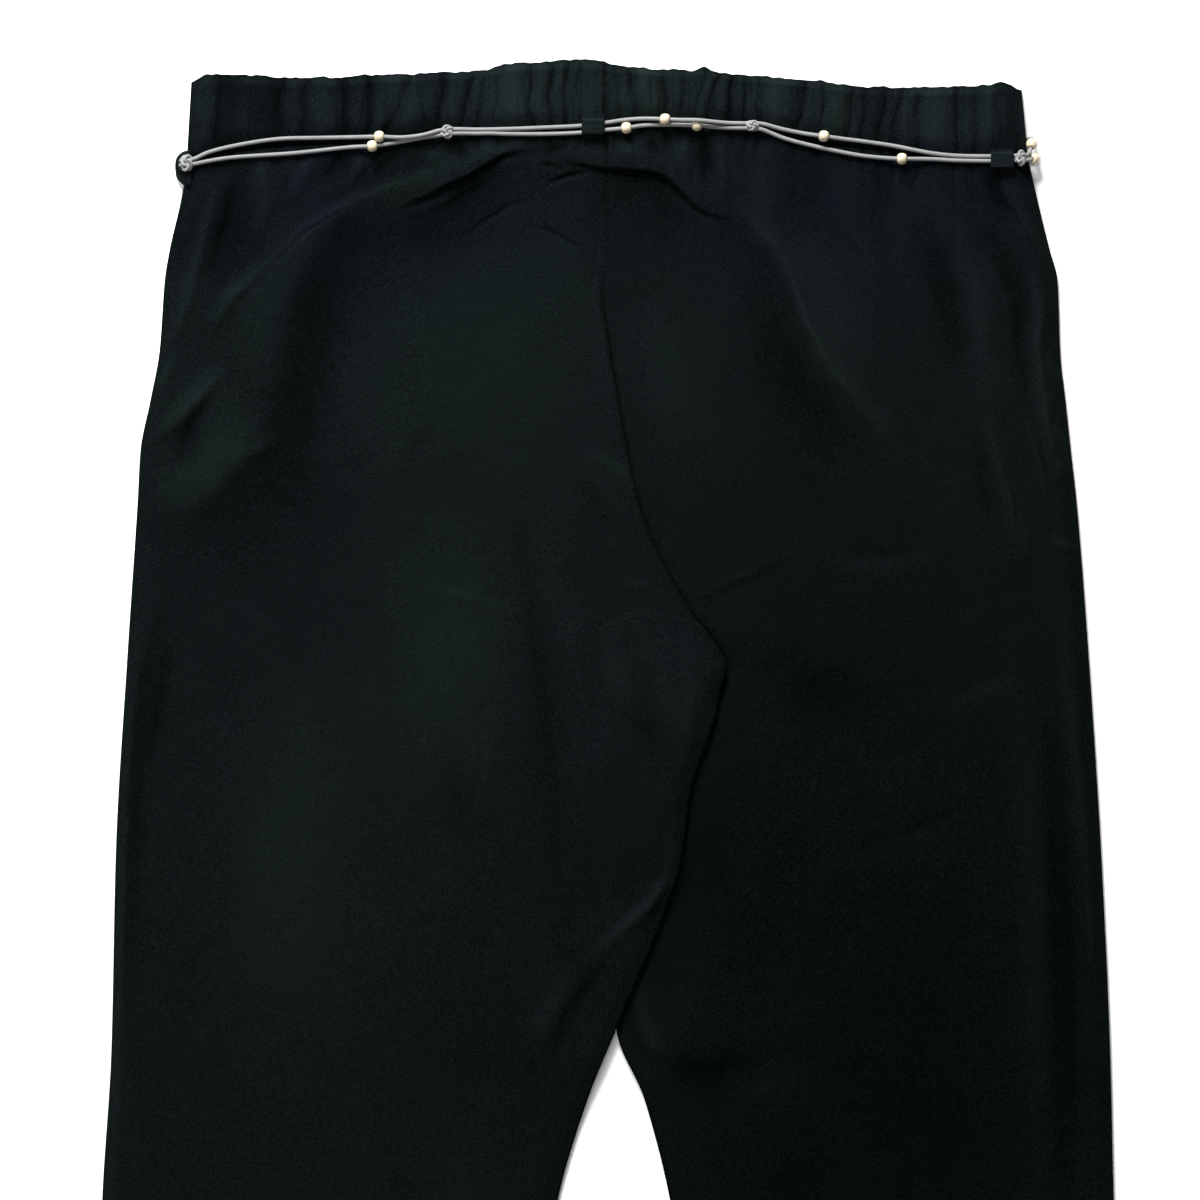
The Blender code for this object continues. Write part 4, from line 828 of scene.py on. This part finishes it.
# How a panel's rows are spaced: finer near the band, where the creases are, and at the hem
PANEL_TOP = 48.0
PANEL_LENGTH = 952.0
HEM = 20.0
HEM_ROWS = 26.0
ROW_ALONG = (0.0, 0.25, 0.60, 0.86, 0.965, 1.0)
ROW_BELOW = (0.0, 66.0, 286.0, 600.0, PANEL_LENGTH - HEM_ROWS, PANEL_LENGTH)


def slanted(across, width, down, side):
    """The distance down, slanted near the hem, which is square to its leg."""
    lean = (across - 0.5) * 0.085 * width * ease((down - 600) / 400)
    return down + (lean if side == "left" else -lean)


def back_place(side):
    """Where a back panel's grid lies: from the band's seam to the hem, and round the outer edge."""
    def place(across, along):
        below = np.interp(along, ROW_ALONG, ROW_BELOW)
        down = PANEL_TOP + below
        share = ease(below / 150)
        for _ in range(5):
            if side == "left":
                start, end = left_edge(down), left_leg_inner(down) + SEAM_OVERLAP
            else:
                start, end = right_leg_inner(down) - SEAM_OVERLAP, right_edge(down)
            x = start + across * (end - start)
            down = below + (1 - share) * (band_seam(x) + SEAM_HALF_GAP) + share * PANEL_TOP
        down = slanted(across, end - start, down, side)
        height, mottle_and_painted_light = back_height(x, down, side)
        return x, down, height + 0.6 * ease((below - PANEL_LENGTH + HEM + 1) / 2), mottle_and_painted_light

    return place


THREAD = 0.17
BLACK_THREAD = (0.003, 0.004, 0.0042, 1.0)


def stitches(name, place, runs, thread, spacing=3.0, length=2.2):
    """Rows of machine stitches: each run goes over place() from one (across, along) to another."""
    threads = []
    for start, end in runs:
        ways = [np.linspace(a, b, 400) for a, b in zip(start, end)]
        x, down, height, _ = place(*ways)
        run = laid_rows(x, down, height)
        steps = np.linalg.norm(np.diff(run, axis=0), axis=1)
        travelled = np.concatenate(([0.0], np.cumsum(steps))) / MM
        for at in np.arange(spacing, travelled[-1] - spacing, spacing):
            spots = []
            for share, lift in ((0, -0.15), (0.25, 0.12), (0.75, 0.12), (1, -0.15)):
                spot = [np.interp(at + share * length, travelled, axis) for axis in run.T]
                spots.append((spot[0], spot[1], spot[2] + lift * MM))
            threads.append(spots)
    obj = tube(name, threads, THREAD * MM, 4, thread)
    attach(obj, "root")
    return obj


back_left = cloth_sheet("back_left_cloth", 240, 400, back_place("left"), cloth_left)
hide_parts("back_left")
back_right = cloth_sheet("back_right_cloth", 240, 400, back_place("right"), cloth_right)
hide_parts("back_right")
black_thread, _, _ = finish_of(
    "black_thread", Base_Color=BLACK_THREAD, Roughness=0.6, Specular_IOR_Level=0.08)
hem_at = 1 - (HEM - 1.0) / HEM_ROWS * (1 - ROW_ALONG[-2])
for side in ("left", "right"):
    hem_run = ((0.02, hem_at), (0.98, hem_at))
    stitches(f"hem_stitches_{side}", back_place(side), [hem_run], black_thread)

# The fronts of the legs
# The same cloth, lying flat on the table under the backs. Only their edges show, at the
# sides of the legs and between them.


def front_place(side):
    def place(across, along):
        down = PANEL_TOP + along * PANEL_LENGTH
        leg = leg_share(down)
        if side == "left":
            start, end = left_edge(down) + 0.5, left_leg_inner(down) + SEAM_OVERLAP - 0.85 * leg
        else:
            start, end = right_leg_inner(down) - SEAM_OVERLAP + 0.85 * leg, right_edge(down) - 0.5
        x = start + across * (end - start)
        share = ease(along * PANEL_LENGTH / 150)
        down = down + (1 - share) * (band_seam(x) + SEAM_HALF_GAP - PANEL_TOP)
        down = slanted(across, end - start, down, side)
        room = knot_room(x) * channel(x, down)
        return x, down, layer_base(x, down, side) + room + WALL, 0 * x

    return place


front_left = cloth_sheet("front_left_cloth", 60, 150, front_place("left"), cloth_left, WALL)
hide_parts("front_left")
front_right = cloth_sheet("front_right_cloth", 60, 150, front_place("right"), cloth_right, WALL)
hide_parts("front_right")

# The waistband
# A casing of the same cloth, gathered on a soft elastic inside it, in a back and a front
# half. The gathers stand as uneven lobes, and the top edge ruffles between them.


# The band's left and right ends, at its seam and at its top
BAND_SIDES = ((-231.2, 231.6), (-229.0, 228.4))
# The band's broader forms: a place, its width and how high it stands
BAND_FOLDS = (
    (-196, 13, -1.5), (-219, 7, 1.0), (-158, 10, 1.0), (-112, 12, 1.6), (-100, 5, -1.2),
    (-52, 14, 1.5), (-8, 6, 0.8), (24, 9, 1.2), (66, 7, -1.0), (92, 10, 1.6), (124, 9, 1.0),
    (146, 8, -0.9), (181, 12, 1.5), (209, 8, 0.9), (222, 5, -0.8),
)


def band_height(x, down, up_share):
    """The top face of the gathered band, in millimetres above the floor."""
    above = band_seam(x) - down
    away = ease((above + 4) / 15)
    lift = CHANNEL * (1 - ease((above - channel_reach(x)) / 27))
    roll = 1 - 0.5 * ease((up_share - 0.86) / 0.14)
    form, stands = gather_form(x, down, up_share, 0.8)
    stands = stands * np.clip(0.75 + 0.7 * ripples(x, 0 * x, 31.0, 1.3), 0.2, 1.3)
    lobes = 1.5 * stands * form * away - (1 - away) * (1 - form)
    broad = sum(height * bump(x - at_x, width) for at_x, width, height in BAND_FOLDS)
    fine = 0.45 * ripples(x, down * 0.25, 9.0, 0.2) + 0.4 * ripples(x, down * 0.3, 4.3, 0.1)
    fine = fine + 0.32 * ripples(x, down * 0.16, 2.3, 0.05)
    fine = fine + 0.12 * ripples(x, down * 0.4, 1.3, 0.3)
    fine = fine * (0.55 + 0.45 * bump(x - 10, 90))
    air = np.maximum(0.2, BAND_AIR + lobes + (broad + fine) * away) * roll
    air = air * rim_fall(x, down) - 0.7 * bump(above, SEAM_SINK)
    # Painted light and shade: broad folds, gather lobes and fine crinkles lighter on their crests
    # and darker in their furrows, a painted shadow above the seam along the cord, and the band
    # painted darker towards its ends and lighter at its middle.
    mottle_and_painted_light = 0.42 * broad + 0.75 * stands * (form - 0.6) + 0.8 * fine - 0.4 * bump(above, 8.0)
    mottle_and_painted_light = mottle_and_painted_light - 0.6 * ease((-x - 60) / 80) - 0.15 * ease((x - 60) / 60)
    mottle_and_painted_light = mottle_and_painted_light + 0.1 + 0.15 * bump(x + 20, 60)
    return lift + WALL + GAP + air + WALL, mottle_and_painted_light


def band_place(half):
    def place(across, along):
        up_share = 1 - along
        at_seam, at_top = (start + across * (end - start) for start, end in BAND_SIDES)
        x = at_seam + (at_top - at_seam) * up_share
        ruffle = 0.7 * ripples(x, 0 * x, 11.0, 0.0) + 0.6 * ripples(x, 0 * x, 5.2, 0.4)
        top = waist_top(x) + ruffle * ease((up_share - 0.7) / 0.3)
        seam = band_seam(x) - SEAM_HALF_GAP
        down = seam + (top - seam) * up_share
        if half == "back":
            return x, down, *band_height(x, down, up_share)
        furrow = 0.5 * np.clip(np.sin(x / 4.6 + 0.8 * np.sin(x / 17.0)), 0, None)
        away = ease((band_seam(x) - down - 12) / 8) * ease((down - waist_top(x)) / 8)
        lift = (CHANNEL + knot_room(x)) * channel(x, down)
        # The raised furrows are painted lighter and the rest darker: painted light and shade.
        return x, down, lift + furrow * away + WALL, furrow - 0.3

    return place


cloth_band = cloth_finish("black_cloth_of_the_band", 1.0)
band_back = cloth_sheet("waistband_back_cloth", 1000, 60, band_place("back"), cloth_band)
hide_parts("waistband_back")
band_front = cloth_sheet("waistband_front_cloth", 200, 16, band_place("front"), cloth_band, WALL)
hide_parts("waistband_front")

# The belt loops
# Narrow strips of the cloth, folded and stitched along both edges, that hold the
# drawstring at the centre back and at each side.


def loop_strip(name, x_from, x_to, down_from, down_to, bridge_from, bridge_to, over_cord):
    """A flat loop, which bridges the cord at the given height between two of its places."""
    def place(across, along):
        x = x_from + across * (x_to - x_from)
        down = down_from + along * (down_to - down_from)
        up_share = (band_seam(x) - down) / (band_seam(x) - waist_top(x))
        on_band, _ = band_height(x, down, np.clip(up_share, 0, 1))
        on_seat, _ = back_height(x, down, "right")
        lying = np.where(down < band_seam(x), on_band, on_seat)
        bridge = over_cord * ease((down - bridge_from) / 4.5) * ease((bridge_to - down) / 1.8)
        crown = 0.45 * (1 - (2 * across - 1) ** 4)
        over = ease((down - bridge_from) / 2.5) * ease((bridge_to - down) / 2.5)
        x = x + (2 * across - 1) * 0.7 * over
        # Painted light where the loop bridges the cord, and a painted shade at its lower end, where
        # it tucks under.
        mottle_and_painted_light = 0.2 + 0.3 * over - 0.35 * ease((down - bridge_to + 3) / 2)
        return x, down, np.maximum(lying + GAP, bridge) + 1.0 + crown, mottle_and_painted_light

    edges = [((at, 0.0), (at, 1.0)) for at in (0.14, 0.86)]
    stitches(name + "_stitches", place, edges, black_thread, 2.4, 1.8)
    return cloth_sheet(name, 24, 90, place, cloth_loop, 1.1)


# The loops' copy is painted lighter, a painted light.
cloth_loop = cloth_finish("black_cloth_of_the_loops", 1.25)


loop_back = loop_strip("belt_loop_back_cloth", -13.3, -2.0, 2.0, 42.8, 29.0, 42.7, 11.0)
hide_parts("belt_loop_back")
loop_right = loop_strip("belt_loop_right_cloth", 211.6, 222.8, 49.0, 61.2, 47.5, 61.0, 11.4)
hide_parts("belt_loop_right")

LOOP_WALL = 0.9
SIDE_LOOP = (
    (-229.8, 50.2), (-234.0, 51.2), (-236.6, 54.6), (-237.0, 59.5), (-236.0, 64.6), (-231.6, 68.6),
)
side_line = [tuple(p)[:2] for p in smooth_path([(x, down, 0.0) for x, down in SIDE_LOOP], 0.5)]


def side_place(across, along):
    """The strip stands round the cord's turn, and leans over the garment above and below it."""
    count = np.arange(len(side_line)) / (len(side_line) - 1)
    x = np.interp(along, count, [p[0] for p in side_line])
    down = np.interp(along, count, [p[1] for p in side_line])
    covered = 1 - ease((down - 50.5) / 3.0) + ease((down - 59.8) / 3.5)
    lean = 1.2 + np.clip(-229.0 - x - 1.2, 0, None) * covered
    # The strip is painted lighter towards its raised top, a painted light.
    return x + lean * across**2.2, down, 0.1 + 7.7 * np.sin(across * math.pi / 2), 0.2 * across


loop_left = cloth_sheet("belt_loop_left_cloth", 16, 60, side_place, cloth_loop, 0.0)
wall = loop_left.modifiers.new("Cloth thickness", "SOLIDIFY")
wall.thickness = LOOP_WALL * MM
wall.offset = 1.0
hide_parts("belt_loop_left")
